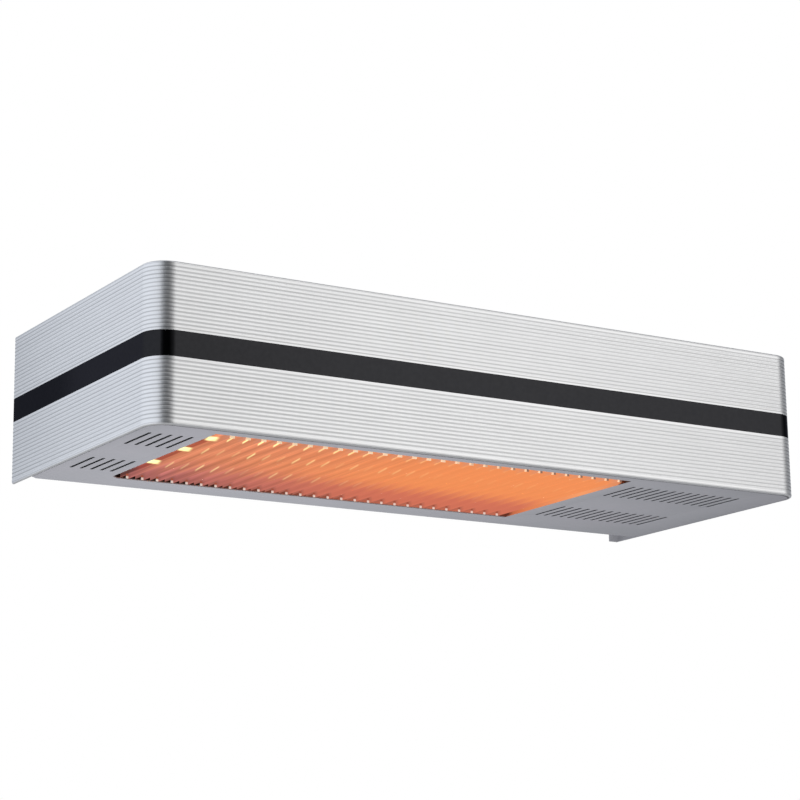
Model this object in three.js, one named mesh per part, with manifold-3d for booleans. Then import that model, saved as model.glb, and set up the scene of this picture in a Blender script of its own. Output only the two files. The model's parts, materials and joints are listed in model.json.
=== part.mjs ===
// Wall-mounted infrared bar heater with three lamps behind a louvred guard.
// Millimetres, +Z up. X runs along the heater and its middle is X = 0. The wall is the plane Y = 0 and the
// front faces -Y. Z = 0 is the middle of the casing's height. The heater hangs on the hooks of a wall bracket.
import * as THREE from 'three';
import { mergeVertices } from 'three/addons/utils/BufferGeometryUtils.js';
import Module from 'manifold-3d';

// ---- Casing band: one ribbed profile bent round the left end, the front and the right end
const CASING_LENGTH = 714.4;
const CASING_DEPTH = 301;
const CASING_HEIGHT = 143.8;
const CORNER_RADIUS = 22;
const CORNER_STEPS = 7;
const BAND_WALL = 2.4;
const EDGE_RADIUS = 2;
const EDGE_STEPS = 3;
const EDGE_LAND = 4.8;
const RIB_PITCH = 3.6;
const RIB_START = 4.7;
const GROOVE_WIDTH = 1.6;
const GROOVE_DEPTH = 0.8;
const LEDGE_REACH = 6;
const LEDGE_THICKNESS = 2;

// ---- Smooth inlay strip in the middle of the two rib fields, a little above the casing's middle
const STRIP_HEIGHT = 22.5;
const STRIP_RISE = 0.7;
const STRIP_THICKNESS = 1.2;
const BACKING_MARGIN = 4;
const BACKING_DEPTH = 1.8;

// ---- Sheet metal of the bottom plate, top cover and rear panel
const SHEET = 1;
const PLATE_RECESS = 0.3;
const PLATE_SIDE_GAP = 0.8;
const PLATE_FRONT_GAP = 2.5;
const PLATE_CORNER_CUT = 6;
const REAR_SET = 35;
const SEAT_GAP = 0.3;

// ---- Radiant window in the bottom plate
const WINDOW_LENGTH = 446.8;
const WINDOW_LEFT_MARGIN = 68.6;
const WINDOW_FRONT_MARGIN = 16.6;
const WINDOW_REAR_MARGIN = 70;

// ---- Round-ended vent slots beside the window
const VENT_WIDTH = 3;
const VENT_LENGTH = 51.5;
const VENT_PITCH = 10;
const VENT_LEFT_GAP = 11.6;
const VENT_RIGHT_GAP = 20.6;
const VENT_LEFT_MARGIN = 13;
const VENT_RIGHT_MARGIN = 36;
const VENT_FRONT_SET = 63;
const VENT_REAR_SET = 178.3;
const VENT_END_STEPS = 4;

// ---- Louvred guard: thin blades whose ends rest in two comb rails
const BLADE_PITCH = 15.5;
const BLADE_FIRST_GAP = 18;
const BLADE_LAST_GAP = 10;
const BLADE_THICKNESS = 0.8;
const BLADE_DEPTH = 8;
const BLADE_RECESS = 0.3;
const BLADE_FRONT_GAP = 7.4;
const BLADE_REAR_GAP = 2.5;
const BLADE_STEP = 4.4;
const BLADE_TAB = 2.2;
const LUG_FRONT = 6.5;
const LUG_REAR = 18;
const NOTCH_GAP = 0.3;
const RAIL_THICKNESS = 1.2;
const RAIL_FOOT = 3.2;
const RAIL_HEIGHT = 10;
const RAIL_FRONT_SET = 3.2;
const RAIL_REAR_SET = 14;
const RAIL_END_MARGIN = 1.8;

// ---- Lamps: quartz tube, filament with support discs, ceramic end caps
const LAMP_COUNT = 3;
const LAMP_EDGE_GAP = 45.2;
const LAMP_HEIGHT = 18;
const TUBE_RADIUS = 5;
const TUBE_WALL = 1;
const TUBE_SIDES = 16;
const TUBE_INSERT = 8;
const FILAMENT_RADIUS = 1.1;
const DISC_RADIUS = 3.2;
const DISC_THICKNESS = 1;
const DISC_COUNT = 6;
const FILAMENT_SIDES = 8;
const CAP_RADIUS = 8;
const CAP_LENGTH = 26;
const CAP_SIDES = 12;
const CAP_SET = 4;
const CAP_NECK_RADIUS = 6.4;
const CAP_NECK_START = 12;
const CAP_NECK_WIDTH = 2.5;
const BORE_GAP = 0.3;

// ---- Lamp chamber: bulkheads, reflector, heat shield, lamp holders
const THIN_SHEET = 1.2;
const BULKHEAD_SET = 2.5;
const BULKHEAD_FLANGE = 5;
const LAMP_HOLE_GAP = 1.5;
const HOLE_SIDES = 16;
const REFLECTOR_SHEET = 1.4;
const REFLECTOR_RISE = 17;
const REFLECTOR_DROP = 4.5;
const REFLECTOR_STEPS = 10;
const CUSP_GAP = 1.5;
const SKIRT_GAP = 1.4;
const SKIRT_LIFT = 11;
const SHIELD_RISE = 8;
const SHIELD_LIP = 14;
const SHIELD_INSET = 2;
const HOLDER_CLEARANCE = 4;
const HOLDER_FOOT_WIDTH = 14;
const HOLDER_MARGIN = 4;

// ---- Terminals and cable gland
const TERMINAL_POLES = 3;
const TERMINAL_PITCH = 14;
const TERMINAL_DEPTH = 24;
const TERMINAL_HEIGHT = 20;
const TERMINAL_SHOULDER = 11;
const TERMINAL_CREST = 10;
const TERMINAL_BORE = 2.2;
const TERMINAL_BACK_GAP = 14;
const TERMINAL_END_GAP = 18;
const GLAND_BORE = 4.5;
const GLAND_RADIUS = 8;
const GLAND_COLLAR_RADIUS = 11.5;
const GLAND_COLLAR = 5;
const GLAND_DOME = 9;
const GLAND_THREAD = 8;
const GLAND_NUT_FLATS = 22;
const GLAND_NUT_THICKNESS = 4;
const GLAND_DROP = 32;
const GLAND_END_GAP = 62;
const GLAND_SIDES = 16;

// ---- Wall bracket: back plate with two ears, each ending in an upturned hook
const BRACKET_SHEET = 2.5;
const BRACKET_HEIGHT = 68;
const BRACKET_SPAN = 420;
const BRACKET_HOLE_SPAN = 330;
const BRACKET_HOLE_RISE = 20;
const BRACKET_HOLE_RADIUS = 3;
const BRACKET_HOLE_SLOT = 8;
const EAR_GAP = 1;
const HOOK_STEM = 10;
const HOOK_TOP = 15;
const HOOK_TONGUE = 9;
const HOOK_THICKNESS = 5;
const HOOK_GAP = 0.8;
const HOOK_CHAMFER = 2;
const HOOK_SIDE_GAP = 0.8;
const LIFT_TRAVEL = 10;
const LIFT_CLEARANCE = 1.2;

// ---- Levels and places that follow from the sizes above
const halfLength = CASING_LENGTH / 2;
const halfHeight = CASING_HEIGHT / 2;
const plateUnder = -halfHeight + PLATE_RECESS;
const plateTop = plateUnder + SHEET;
const coverUnder = halfHeight - PLATE_RECESS - SHEET;
const plateHalf = halfLength - BAND_WALL - PLATE_SIDE_GAP;
const plateFront = -(CASING_DEPTH - BAND_WALL - PLATE_FRONT_GAP);
const plateCorner = CORNER_RADIUS - BAND_WALL - PLATE_SIDE_GAP;
const panelFront = -(REAR_SET + SHEET);
const ledgeFront = -(CASING_DEPTH - BAND_WALL - LEDGE_REACH);
const windowLeft = -halfLength + WINDOW_LEFT_MARGIN;
const windowRight = windowLeft + WINDOW_LENGTH;
const windowFront = -CASING_DEPTH + WINDOW_FRONT_MARGIN;
const windowRear = -WINDOW_REAR_MARGIN;
const bladeUnder = plateUnder + BLADE_RECESS;
const bladeTop = bladeUnder + BLADE_DEPTH;
const lugUnder = bladeUnder + BLADE_STEP;
const lampLevel = plateUnder + LAMP_HEIGHT;
const lampPitch = (windowRear - windowFront - 2 * LAMP_EDGE_GAP) / (LAMP_COUNT - 1);
const leftWeb = windowLeft - BULKHEAD_SET;
const rightWeb = windowRight + BULKHEAD_SET;
const reflectorTop = lampLevel + REFLECTOR_RISE + REFLECTOR_SHEET;
const shieldUnder = reflectorTop + SHIELD_RISE;
const capMouth = THIN_SHEET + CAP_SET;

const wasm = await Module();
wasm.setup();
const { Manifold, Mesh } = wasm;

// ---- Geometry helpers

function toSolid(geometry) {
  const plain = geometry.clone();
  plain.deleteAttribute('normal');
  plain.deleteAttribute('uv');
  const merged = mergeVertices(plain, 1e-5);
  return new Manifold(new Mesh({
    numProp: 3,
    vertProperties: new Float32Array(merged.attributes.position.array),
    triVerts: new Uint32Array(merged.index.array),
  }));
}

function toGeometry(solid) {
  const mesh = solid.getMesh();
  const geometry = new THREE.BufferGeometry();
  geometry.setAttribute('position', new THREE.BufferAttribute(mesh.vertProperties, 3));
  geometry.setIndex(new THREE.BufferAttribute(mesh.triVerts, 1));
  geometry.computeVertexNormals();
  return geometry;
}

function cut(geometry, cutters) {
  let solid = toSolid(geometry);
  for (const cutter of cutters) {
    solid = solid.subtract(toSolid(cutter));
  }
  return toGeometry(solid);
}

function join(geometry, others) {
  let solid = toSolid(geometry);
  for (const other of others) {
    solid = solid.add(toSolid(other));
  }
  return toGeometry(solid);
}

function box(x0, x1, y0, y1, z0, z1) {
  const geometry = new THREE.BoxGeometry(x1 - x0, y1 - y0, z1 - z0);
  return geometry.translate((x0 + x1) / 2, (y0 + y1) / 2, (z0 + z1) / 2);
}

function outline(points) {
  return new THREE.Shape(points.map(([u, v]) => new THREE.Vector2(u, v)));
}

function extrude(shape, length) {
  return new THREE.ExtrudeGeometry(shape, { depth: length, bevelEnabled: false });
}

// A shape drawn in (x, y), from level z0 up to z1
function alongZ(shape, z0, z1) {
  return extrude(shape, z1 - z0).translate(0, 0, z0);
}

// A shape drawn in (y, z), from x0 to x1
function alongX(shape, x0, x1) {
  const turn = new THREE.Matrix4().makeBasis(
    new THREE.Vector3(0, 1, 0), new THREE.Vector3(0, 0, 1), new THREE.Vector3(1, 0, 0));
  return extrude(shape, x1 - x0).applyMatrix4(turn).translate(x0, 0, 0);
}

// A shape drawn in (x, z), from y0 to y1
function alongY(shape, y0, y1) {
  const turn = new THREE.Matrix4().makeBasis(
    new THREE.Vector3(1, 0, 0), new THREE.Vector3(0, 0, 1), new THREE.Vector3(0, -1, 0));
  return extrude(shape, y1 - y0).applyMatrix4(turn).translate(0, y1, 0);
}

function arc(u, v, radius, from, to, steps) {
  return Array.from({ length: steps + 1 }, (_, i) => {
    const angle = from + ((to - from) * i) / steps;
    return [u + radius * Math.cos(angle), v + radius * Math.sin(angle)];
  });
}

// A turned piece about the X axis: the profile lists [distance along X, radius] from x0
function turnedAlongX(profile, sides, x0, direction, y, z) {
  const points = profile.map(([along, radius]) => new THREE.Vector2(radius, along));
  const geometry = new THREE.LatheGeometry(points, sides);
  return geometry.rotateZ(-direction * Math.PI / 2).translate(x0, y, z);
}

// A straight rod, used as a cutter for round holes along X
function rodAlongX(radius, sides, x0, x1, y, z) {
  return turnedAlongX([[0, 0], [0, radius], [x1 - x0, radius], [x1 - x0, 0]], sides, x0, 1, y, z);
}

// ---- Casing band

// Plan positions round the outside of the casing, each with the direction into it
function planStations() {
  const stations = [{ x: halfLength, y: 0, inX: -1, inY: 0 }];
  for (const side of [1, -1]) {
    for (let i = 0; i <= CORNER_STEPS; i++) {
      const share = (side > 0 ? i : CORNER_STEPS - i) / CORNER_STEPS;
      const angle = (share * Math.PI) / 2;
      const outX = side * Math.cos(angle);
      const outY = -Math.sin(angle);
      stations.push({
        x: side * (halfLength - CORNER_RADIUS) + CORNER_RADIUS * outX,
        y: -CASING_DEPTH + CORNER_RADIUS + CORNER_RADIUS * outY,
        inX: -outX,
        inY: -outY,
      });
    }
  }
  stations.push({ x: -halfLength, y: 0, inX: 1, inY: 0 });
  return stations;
}

// Sweeps a section of [depth into the casing, height] points round the plan stations. The section goes up its
// outer side and down its inner side.
function sweepRoundCasing(section) {
  const stations = planStations();
  const positions = [];
  for (const { x, y, inX, inY } of stations) {
    for (const [depth, height] of section) {
      positions.push(x + inX * depth, y + inY * depth, height);
    }
  }
  const index = [];
  const count = section.length;
  for (let s = 0; s < stations.length - 1; s++) {
    for (let i = 0; i < count; i++) {
      const next = (i + 1) % count;
      const a = s * count + i;
      const b = s * count + next;
      const c = (s + 1) * count + next;
      const d = (s + 1) * count + i;
      index.push(a, b, c, a, c, d);
    }
  }
  const contour = section.map(([depth, height]) => new THREE.Vector2(depth, height));
  const last = (stations.length - 1) * count;
  for (const [a, b, c] of THREE.ShapeUtils.triangulateShape(contour, [])) {
    const clockwise = THREE.ShapeUtils.area([contour[a], contour[b], contour[c]]) < 0;
    const [p, q] = clockwise ? [c, b] : [b, c];
    index.push(a, p, q, last + a, last + q, last + p);
  }
  const geometry = new THREE.BufferGeometry();
  geometry.setAttribute('position', new THREE.Float32BufferAttribute(positions, 3));
  geometry.setIndex(index);
  return geometry;
}

// Groove levels above the strip's middle line; the same levels are used below it
function grooveLevels() {
  const first = STRIP_HEIGHT / 2 + RIB_START;
  const room = halfHeight - STRIP_RISE - EDGE_LAND - first;
  const count = Math.floor(room / RIB_PITCH) + 1;
  return Array.from({ length: count }, (_, i) => first + i * RIB_PITCH);
}

function grooves(levels) {
  return levels.flatMap((level) => [
    [0, level - GROOVE_WIDTH / 2], [GROOVE_DEPTH, level], [0, level + GROOVE_WIDTH / 2],
  ]);
}

function raised(points) {
  return points.map(([depth, height]) => [depth, height + STRIP_RISE]);
}

function mirrored(points) {
  return points.map(([depth, height]) => [depth, -height]).reverse();
}

function makeCasingBand() {
  const levels = grooveLevels();
  const channel = STRIP_HEIGHT / 2 + SEAT_GAP;
  const channelFloor = STRIP_THICKNESS + SEAT_GAP;
  const lowerEdge = arc(EDGE_RADIUS, -halfHeight + EDGE_RADIUS, EDGE_RADIUS, 1.5 * Math.PI, Math.PI, EDGE_STEPS);
  const upperEdge = arc(EDGE_RADIUS, halfHeight - EDGE_RADIUS, EDGE_RADIUS, Math.PI, 0.5 * Math.PI, EDGE_STEPS);
  const aboutStrip = [
    ...grooves(levels.map((level) => -level).reverse()),
    [0, -channel], [channelFloor, -channel], [channelFloor, channel], [0, channel],
    ...grooves(levels),
  ];
  const outer = [...lowerEdge, ...raised(aboutStrip), ...upperEdge];
  const ledge = coverUnder - SEAT_GAP;
  const backing = STRIP_HEIGHT / 2 + BACKING_MARGIN;
  const upperInner = [
    [BAND_WALL, halfHeight],
    [BAND_WALL, ledge],
    [BAND_WALL + LEDGE_REACH, ledge],
    [BAND_WALL + LEDGE_REACH, ledge - LEDGE_THICKNESS],
    [BAND_WALL, ledge - LEDGE_THICKNESS],
  ];
  const upperBacking = [[BAND_WALL, backing + BACKING_DEPTH], [BAND_WALL + BACKING_DEPTH, backing]];
  const behindStrip = [...upperBacking, ...mirrored(upperBacking)];
  const swept = sweepRoundCasing([
    ...outer, ...upperInner, ...raised(behindStrip), ...mirrored(upperInner),
  ]);
  const inside = halfLength - BAND_WALL;
  const relief = box(-inside, inside, panelFront - SEAT_GAP, CASING_DEPTH, -CASING_HEIGHT, CASING_HEIGHT);
  return cut(swept, [relief]);
}

function makeCentreStrip() {
  const half = STRIP_HEIGHT / 2;
  const section = [[0, -half], [0, half], [STRIP_THICKNESS, half], [STRIP_THICKNESS, -half]];
  return sweepRoundCasing(raised(section));
}

// ---- Bottom plate, top cover, rear panel

function plateOutline() {
  const rear = -REAR_SET;
  const centreX = plateHalf - plateCorner;
  const centreY = plateFront + plateCorner;
  return outline([
    [-plateHalf + PLATE_CORNER_CUT, rear],
    [-plateHalf, rear - PLATE_CORNER_CUT],
    ...arc(-centreX, centreY, plateCorner, Math.PI, 1.5 * Math.PI, CORNER_STEPS),
    ...arc(centreX, centreY, plateCorner, 1.5 * Math.PI, 2 * Math.PI, CORNER_STEPS),
    [plateHalf, rear - PLATE_CORNER_CUT],
    [plateHalf - PLATE_CORNER_CUT, rear],
  ]);
}

function ventSlot(x, y) {
  const radius = VENT_WIDTH / 2;
  const reach = VENT_LENGTH / 2 - radius;
  return new THREE.Path([
    ...arc(x, y + reach, radius, 0, Math.PI, VENT_END_STEPS),
    ...arc(x, y - reach, radius, Math.PI, 2 * Math.PI, VENT_END_STEPS),
  ].map(([u, v]) => new THREE.Vector2(u, v)));
}

function ventGroups(y) {
  const room = (from, margin) => Math.floor((plateHalf - margin - Math.abs(from)) / VENT_PITCH) + 1;
  const leftStart = windowLeft - VENT_LEFT_GAP;
  const rightStart = windowRight + VENT_RIGHT_GAP;
  const slots = [];
  for (let i = 0; i < room(leftStart, VENT_LEFT_MARGIN); i++) {
    slots.push(ventSlot(leftStart - i * VENT_PITCH, y));
  }
  for (let i = 0; i < room(rightStart, VENT_RIGHT_MARGIN); i++) {
    slots.push(ventSlot(rightStart + i * VENT_PITCH, y));
  }
  return slots;
}

const ventFront = -CASING_DEPTH + VENT_FRONT_SET;
const ventRear = -CASING_DEPTH + VENT_REAR_SET;

function makeBottomPlate() {
  const shape = plateOutline();
  const window = outline([
    [windowLeft, windowFront], [windowRight, windowFront], [windowRight, windowRear], [windowLeft, windowRear],
  ]);
  shape.holes.push(window, ...ventGroups(ventFront), ...ventGroups(ventRear));
  return alongZ(shape, plateUnder, plateTop);
}

function makeTopCover() {
  const shape = plateOutline();
  shape.holes.push(...ventGroups(ventRear));
  return alongZ(shape, coverUnder, coverUnder + SHEET);
}

const hookBottom = HOOK_TOP - HOOK_STEM;
const hookSlotTop = HOOK_TOP + SEAT_GAP;
const hookSlotBottom = hookBottom - LIFT_TRAVEL - LIFT_CLEARANCE;
const earMiddle = (BRACKET_SPAN - BRACKET_SHEET) / 2;
const glandX = halfLength - GLAND_END_GAP;
const glandZ = -GLAND_DROP;

function makeRearPanel() {
  const z0 = plateTop + SEAT_GAP;
  const z1 = coverUnder - SEAT_GAP;
  const slotHalf = BRACKET_SHEET / 2 + HOOK_SIDE_GAP;
  const shape = outline([[-plateHalf, z0], [plateHalf, z0], [plateHalf, z1], [-plateHalf, z1]]);
  shape.holes.push(outline(arc(glandX, glandZ, GLAND_RADIUS + BORE_GAP, 0, 2 * Math.PI, GLAND_SIDES).slice(1)));
  const slots = [-earMiddle, earMiddle].map((x) => (
    box(x - slotHalf, x + slotHalf, panelFront - 1, -REAR_SET + 1, hookSlotBottom, hookSlotTop)
  ));
  return cut(alongY(shape, panelFront, -REAR_SET), slots);
}

// ---- Louvred guard

function bladePlaces() {
  const count = Math.floor((WINDOW_LENGTH - BLADE_FIRST_GAP - BLADE_LAST_GAP) / BLADE_PITCH) + 1;
  return Array.from({ length: count }, (_, i) => windowLeft + BLADE_FIRST_GAP + i * BLADE_PITCH);
}

// One blade about X = 0. Its lower part hangs in the window; the lugs step up over the plate. A small tab is
// folded over at each end of the lower part.
function makeBlade() {
  const front = windowFront + BLADE_FRONT_GAP;
  const rear = windowRear - BLADE_REAR_GAP;
  const half = BLADE_THICKNESS / 2;
  const side = outline([
    [front, bladeUnder], [rear, bladeUnder], [rear, lugUnder], [windowRear + LUG_REAR, lugUnder],
    [windowRear + LUG_REAR, bladeTop], [windowFront - LUG_FRONT, bladeTop],
    [windowFront - LUG_FRONT, lugUnder], [front, lugUnder],
  ]);
  const tabs = [
    box(-half - BLADE_TAB, 0, front, front + BLADE_THICKNESS, bladeUnder, lugUnder),
    box(-half - BLADE_TAB, 0, rear - BLADE_THICKNESS, rear, bladeUnder, lugUnder),
  ];
  return join(alongX(side, -half, half), tabs);
}

// An angle rail along X whose upright is a comb with one notch for each blade. footY is the side of its foot.
function makeCombRail(y0, y1, footY) {
  const left = windowLeft - RAIL_END_MARGIN;
  const right = windowRight + RAIL_END_MARGIN;
  const base = plateTop + SEAT_GAP;
  const top = base + RAIL_HEIGHT;
  const notchFloor = lugUnder - NOTCH_GAP;
  const half = BLADE_THICKNESS / 2 + NOTCH_GAP;
  const comb = [[left, top], [left, base], [right, base], [right, top]];
  for (const x of bladePlaces().reverse()) {
    comb.push([x + half, top], [x + half, notchFloor], [x - half, notchFloor], [x - half, top]);
  }
  const foot = box(left, right, Math.min(y0, footY), Math.max(y1, footY), base, base + RAIL_THICKNESS / 2);
  return join(alongY(outline(comb), y0, y1), [foot]);
}

// ---- Lamps

function lampPlaces() {
  const first = windowFront + LAMP_EDGE_GAP;
  return Array.from({ length: LAMP_COUNT }, (_, i) => first + i * lampPitch);
}

const tubeLeft = leftWeb - capMouth - TUBE_INSERT;
const tubeRight = rightWeb + capMouth + TUBE_INSERT;

function makeTube(y) {
  const length = tubeRight - tubeLeft;
  const inner = TUBE_RADIUS - TUBE_WALL;
  const profile = [[0, inner], [0, TUBE_RADIUS], [length, TUBE_RADIUS], [length, inner], [0, inner]];
  return turnedAlongX(profile, TUBE_SIDES, tubeLeft, 1, y, lampLevel);
}

function makeFilament(y) {
  const length = tubeRight - tubeLeft;
  const spacing = length / DISC_COUNT;
  const profile = [[0, 0], [0, FILAMENT_RADIUS]];
  for (let i = 0; i < DISC_COUNT; i++) {
    const start = (i + 0.5) * spacing - DISC_THICKNESS / 2;
    profile.push([start, FILAMENT_RADIUS], [start, DISC_RADIUS]);
    profile.push([start + DISC_THICKNESS, DISC_RADIUS], [start + DISC_THICKNESS, FILAMENT_RADIUS]);
  }
  profile.push([length, FILAMENT_RADIUS], [length, 0]);
  return turnedAlongX(profile, FILAMENT_SIDES, tubeLeft, 1, y, lampLevel);
}

// Ceramic cap with a blind bore for the tube's end and a neck that sits in the holder
function makeCap(y, direction) {
  const bore = TUBE_RADIUS + BORE_GAP;
  const neckEnd = CAP_NECK_START + CAP_NECK_WIDTH;
  const profile = [
    [TUBE_INSERT + BORE_GAP, 0], [TUBE_INSERT + BORE_GAP, bore], [0, bore], [0, CAP_RADIUS],
    [CAP_NECK_START, CAP_RADIUS], [CAP_NECK_START, CAP_NECK_RADIUS], [neckEnd, CAP_NECK_RADIUS],
    [neckEnd, CAP_RADIUS], [CAP_LENGTH, CAP_RADIUS], [CAP_LENGTH, 0],
  ];
  const mouth = direction > 0 ? rightWeb + capMouth : leftWeb - capMouth;
  return turnedAlongX(profile, CAP_SIDES, mouth, direction, y, lampLevel);
}

// ---- Lamp chamber

// Folded sheet across the casing: a web with a flange on the plate and one under the cover
function makeBulkhead(web, direction) {
  const z0 = plateTop + SEAT_GAP;
  const z1 = coverUnder - SEAT_GAP;
  const outer = web + direction * THIN_SHEET;
  const tip = outer + direction * BULKHEAD_FLANGE;
  const profile = [
    [web, z0], [tip, z0], [tip, z0 + THIN_SHEET], [outer, z0 + THIN_SHEET],
    [outer, z1 - THIN_SHEET], [tip, z1 - THIN_SHEET], [tip, z1], [web, z1],
  ];
  const sheet = alongY(outline(profile), ledgeFront + SEAT_GAP, panelFront - SEAT_GAP);
  const x0 = Math.min(web, outer) - 1;
  const x1 = Math.max(web, outer) + 1;
  const radius = TUBE_RADIUS + LAMP_HOLE_GAP;
  return cut(sheet, lampPlaces().map((y) => rodAlongX(radius, HOLE_SIDES, x0, x1, y, lampLevel)));
}

// Formed sheet with one parabolic trough over each lamp and a skirt down to each comb rail
function makeReflector() {
  const lip = lampLevel - REFLECTOR_DROP;
  const apex = lampLevel + REFLECTOR_RISE;
  const halfTrough = lampPitch / 2 - CUSP_GAP / 2;
  const skirt = plateUnder + SKIRT_LIFT;
  const under = [[windowFront + SKIRT_GAP, skirt]];
  for (const lamp of lampPlaces()) {
    for (let i = 0; i <= REFLECTOR_STEPS; i++) {
      const share = (2 * i) / REFLECTOR_STEPS - 1;
      under.push([lamp + share * halfTrough, apex - (apex - lip) * share * share]);
    }
  }
  under.push([windowRear - SKIRT_GAP, skirt]);
  const over = under.map(([y, z]) => [y, z + REFLECTOR_SHEET]).reverse();
  return alongX(outline([...under, ...over]), leftWeb + SEAT_GAP, rightWeb - SEAT_GAP);
}

function makeHeatShield() {
  const y0 = windowFront + SHIELD_INSET;
  const y1 = windowRear - SHIELD_INSET;
  const top = shieldUnder + THIN_SHEET;
  const foot = shieldUnder - SHIELD_LIP;
  const profile = [
    [y0, foot], [y0 + THIN_SHEET, foot], [y0 + THIN_SHEET, shieldUnder], [y1 - THIN_SHEET, shieldUnder],
    [y1 - THIN_SHEET, foot], [y1, foot], [y1, top], [y0, top],
  ];
  return alongX(outline(profile), leftWeb + SEAT_GAP, rightWeb - SEAT_GAP);
}

// Upright sheet with a notch for each cap's neck and feet that stand between the vent slots
function makeLampHolder(direction) {
  const web = direction > 0 ? rightWeb : leftWeb;
  const neckMiddle = web + direction * (capMouth + CAP_NECK_START + CAP_NECK_WIDTH / 2);
  const base = plateTop + SEAT_GAP;
  const under = base + HOLDER_CLEARANCE;
  const notch = CAP_NECK_RADIUS + BORE_GAP;
  const lamps = lampPlaces();
  const y0 = lamps[0] - notch - HOLDER_MARGIN;
  const y1 = lamps[lamps.length - 1] + notch + HOLDER_MARGIN;
  const footMiddle = (ventFront + ventRear) / 2;
  const footFront = footMiddle - HOLDER_FOOT_WIDTH / 2;
  const footRear = footMiddle + HOLDER_FOOT_WIDTH / 2;
  const points = [
    [y0, under], [footFront, under], [footFront, base], [footRear, base], [footRear, under],
    [y1, under], [y1, lampLevel],
  ];
  for (const lamp of [...lamps].reverse()) {
    points.push(...arc(lamp, lampLevel, notch, 0, -Math.PI, HOLE_SIDES / 2));
  }
  points.push([y0, lampLevel]);
  return alongX(outline(points), neckMiddle - THIN_SHEET / 2, neckMiddle + THIN_SHEET / 2);
}

// ---- Terminals and gland

function makeTerminalBlock() {
  const x1 = halfLength - BAND_WALL - TERMINAL_END_GAP;
  const x0 = x1 - TERMINAL_POLES * TERMINAL_PITCH;
  const y1 = panelFront - TERMINAL_BACK_GAP;
  const y0 = y1 - TERMINAL_DEPTH;
  const z0 = plateTop + SEAT_GAP;
  const crest0 = (y0 + y1 - TERMINAL_CREST) / 2;
  const crest1 = crest0 + TERMINAL_CREST;
  const profile = [
    [y0, z0], [y1, z0], [y1, z0 + TERMINAL_SHOULDER], [crest1, z0 + TERMINAL_SHOULDER],
    [crest1, z0 + TERMINAL_HEIGHT], [crest0, z0 + TERMINAL_HEIGHT], [crest0, z0 + TERMINAL_SHOULDER],
    [y0, z0 + TERMINAL_SHOULDER],
  ];
  const bores = [];
  for (let pole = 0; pole < TERMINAL_POLES; pole++) {
    const x = x0 + (pole + 0.5) * TERMINAL_PITCH;
    const hole = outline(arc(x, z0 + TERMINAL_SHOULDER / 2, TERMINAL_BORE, 0, 2 * Math.PI, HOLE_SIDES / 2).slice(1));
    bores.push(alongY(hole, y0 - 1, y1 + 1));
  }
  return cut(alongX(outline(profile), x0, x1), bores);
}

// Turned about the Y axis: the profile lists [y, radius]
function turnedAlongY(profile, sides, x, z) {
  const points = profile.map(([along, radius]) => new THREE.Vector2(radius, along));
  return new THREE.LatheGeometry(points, sides).translate(x, 0, z);
}

function makeCableGland() {
  const collarFront = -REAR_SET + SEAT_GAP;
  const collarRear = collarFront + GLAND_COLLAR;
  const domeRear = collarRear + GLAND_DOME;
  const threadFront = panelFront - GLAND_THREAD;
  const profile = [
    [threadFront, GLAND_BORE], [domeRear, GLAND_BORE], [domeRear, GLAND_RADIUS - 1],
    [collarRear, GLAND_COLLAR_RADIUS - 1.5], [collarRear, GLAND_COLLAR_RADIUS],
    [collarFront, GLAND_COLLAR_RADIUS], [collarFront, GLAND_RADIUS], [threadFront, GLAND_RADIUS],
    [threadFront, GLAND_BORE],
  ];
  return turnedAlongY(profile.reverse(), GLAND_SIDES, glandX, glandZ);
}

function makeGlandNut() {
  const y1 = panelFront - SEAT_GAP;
  const corner = GLAND_NUT_FLATS / 2 / Math.cos(Math.PI / 6);
  const shape = outline(arc(glandX, glandZ, corner, 0, 2 * Math.PI, 6).slice(1));
  shape.holes.push(outline(arc(glandX, glandZ, GLAND_RADIUS + BORE_GAP, 0, 2 * Math.PI, GLAND_SIDES).slice(1)));
  return alongY(shape, y1 - GLAND_NUT_THICKNESS, y1);
}

// ---- Wall bracket

function makeWallBracket() {
  const half = BRACKET_SPAN / 2;
  const top = BRACKET_HEIGHT / 2;
  const plate = outline([[-half, -top], [half, -top], [half, top], [-half, top]]);
  for (const x of [-BRACKET_HOLE_SPAN / 2, BRACKET_HOLE_SPAN / 2]) {
    for (const z of [-BRACKET_HOLE_RISE, BRACKET_HOLE_RISE]) {
      const reach = BRACKET_HOLE_SLOT / 2;
      plate.holes.push(outline([
        ...arc(x + reach, z, BRACKET_HOLE_RADIUS, -Math.PI / 2, Math.PI / 2, VENT_END_STEPS),
        ...arc(x - reach, z, BRACKET_HOLE_RADIUS, Math.PI / 2, 1.5 * Math.PI, VENT_END_STEPS),
      ]));
    }
  }
  const earFront = -(REAR_SET - EAR_GAP);
  const tongueRear = panelFront - HOOK_GAP;
  const tongueFront = tongueRear - HOOK_THICKNESS;
  const tongueTop = HOOK_TOP + HOOK_TONGUE;
  const ear = outline([
    [0, -top], [earFront, -top], [earFront, hookBottom], [tongueFront, hookBottom],
    [tongueFront, tongueTop - HOOK_CHAMFER], [tongueFront + HOOK_CHAMFER, tongueTop], [tongueRear, tongueTop],
    [tongueRear, HOOK_TOP], [earFront, HOOK_TOP], [earFront, top], [0, top],
  ]);
  const ears = [
    alongX(ear, -half, -half + BRACKET_SHEET),
    alongX(ear, half - BRACKET_SHEET, half),
  ];
  return join(alongY(plate, -BRACKET_SHEET, 0), ears);
}

// ---- Materials and assembly

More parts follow.
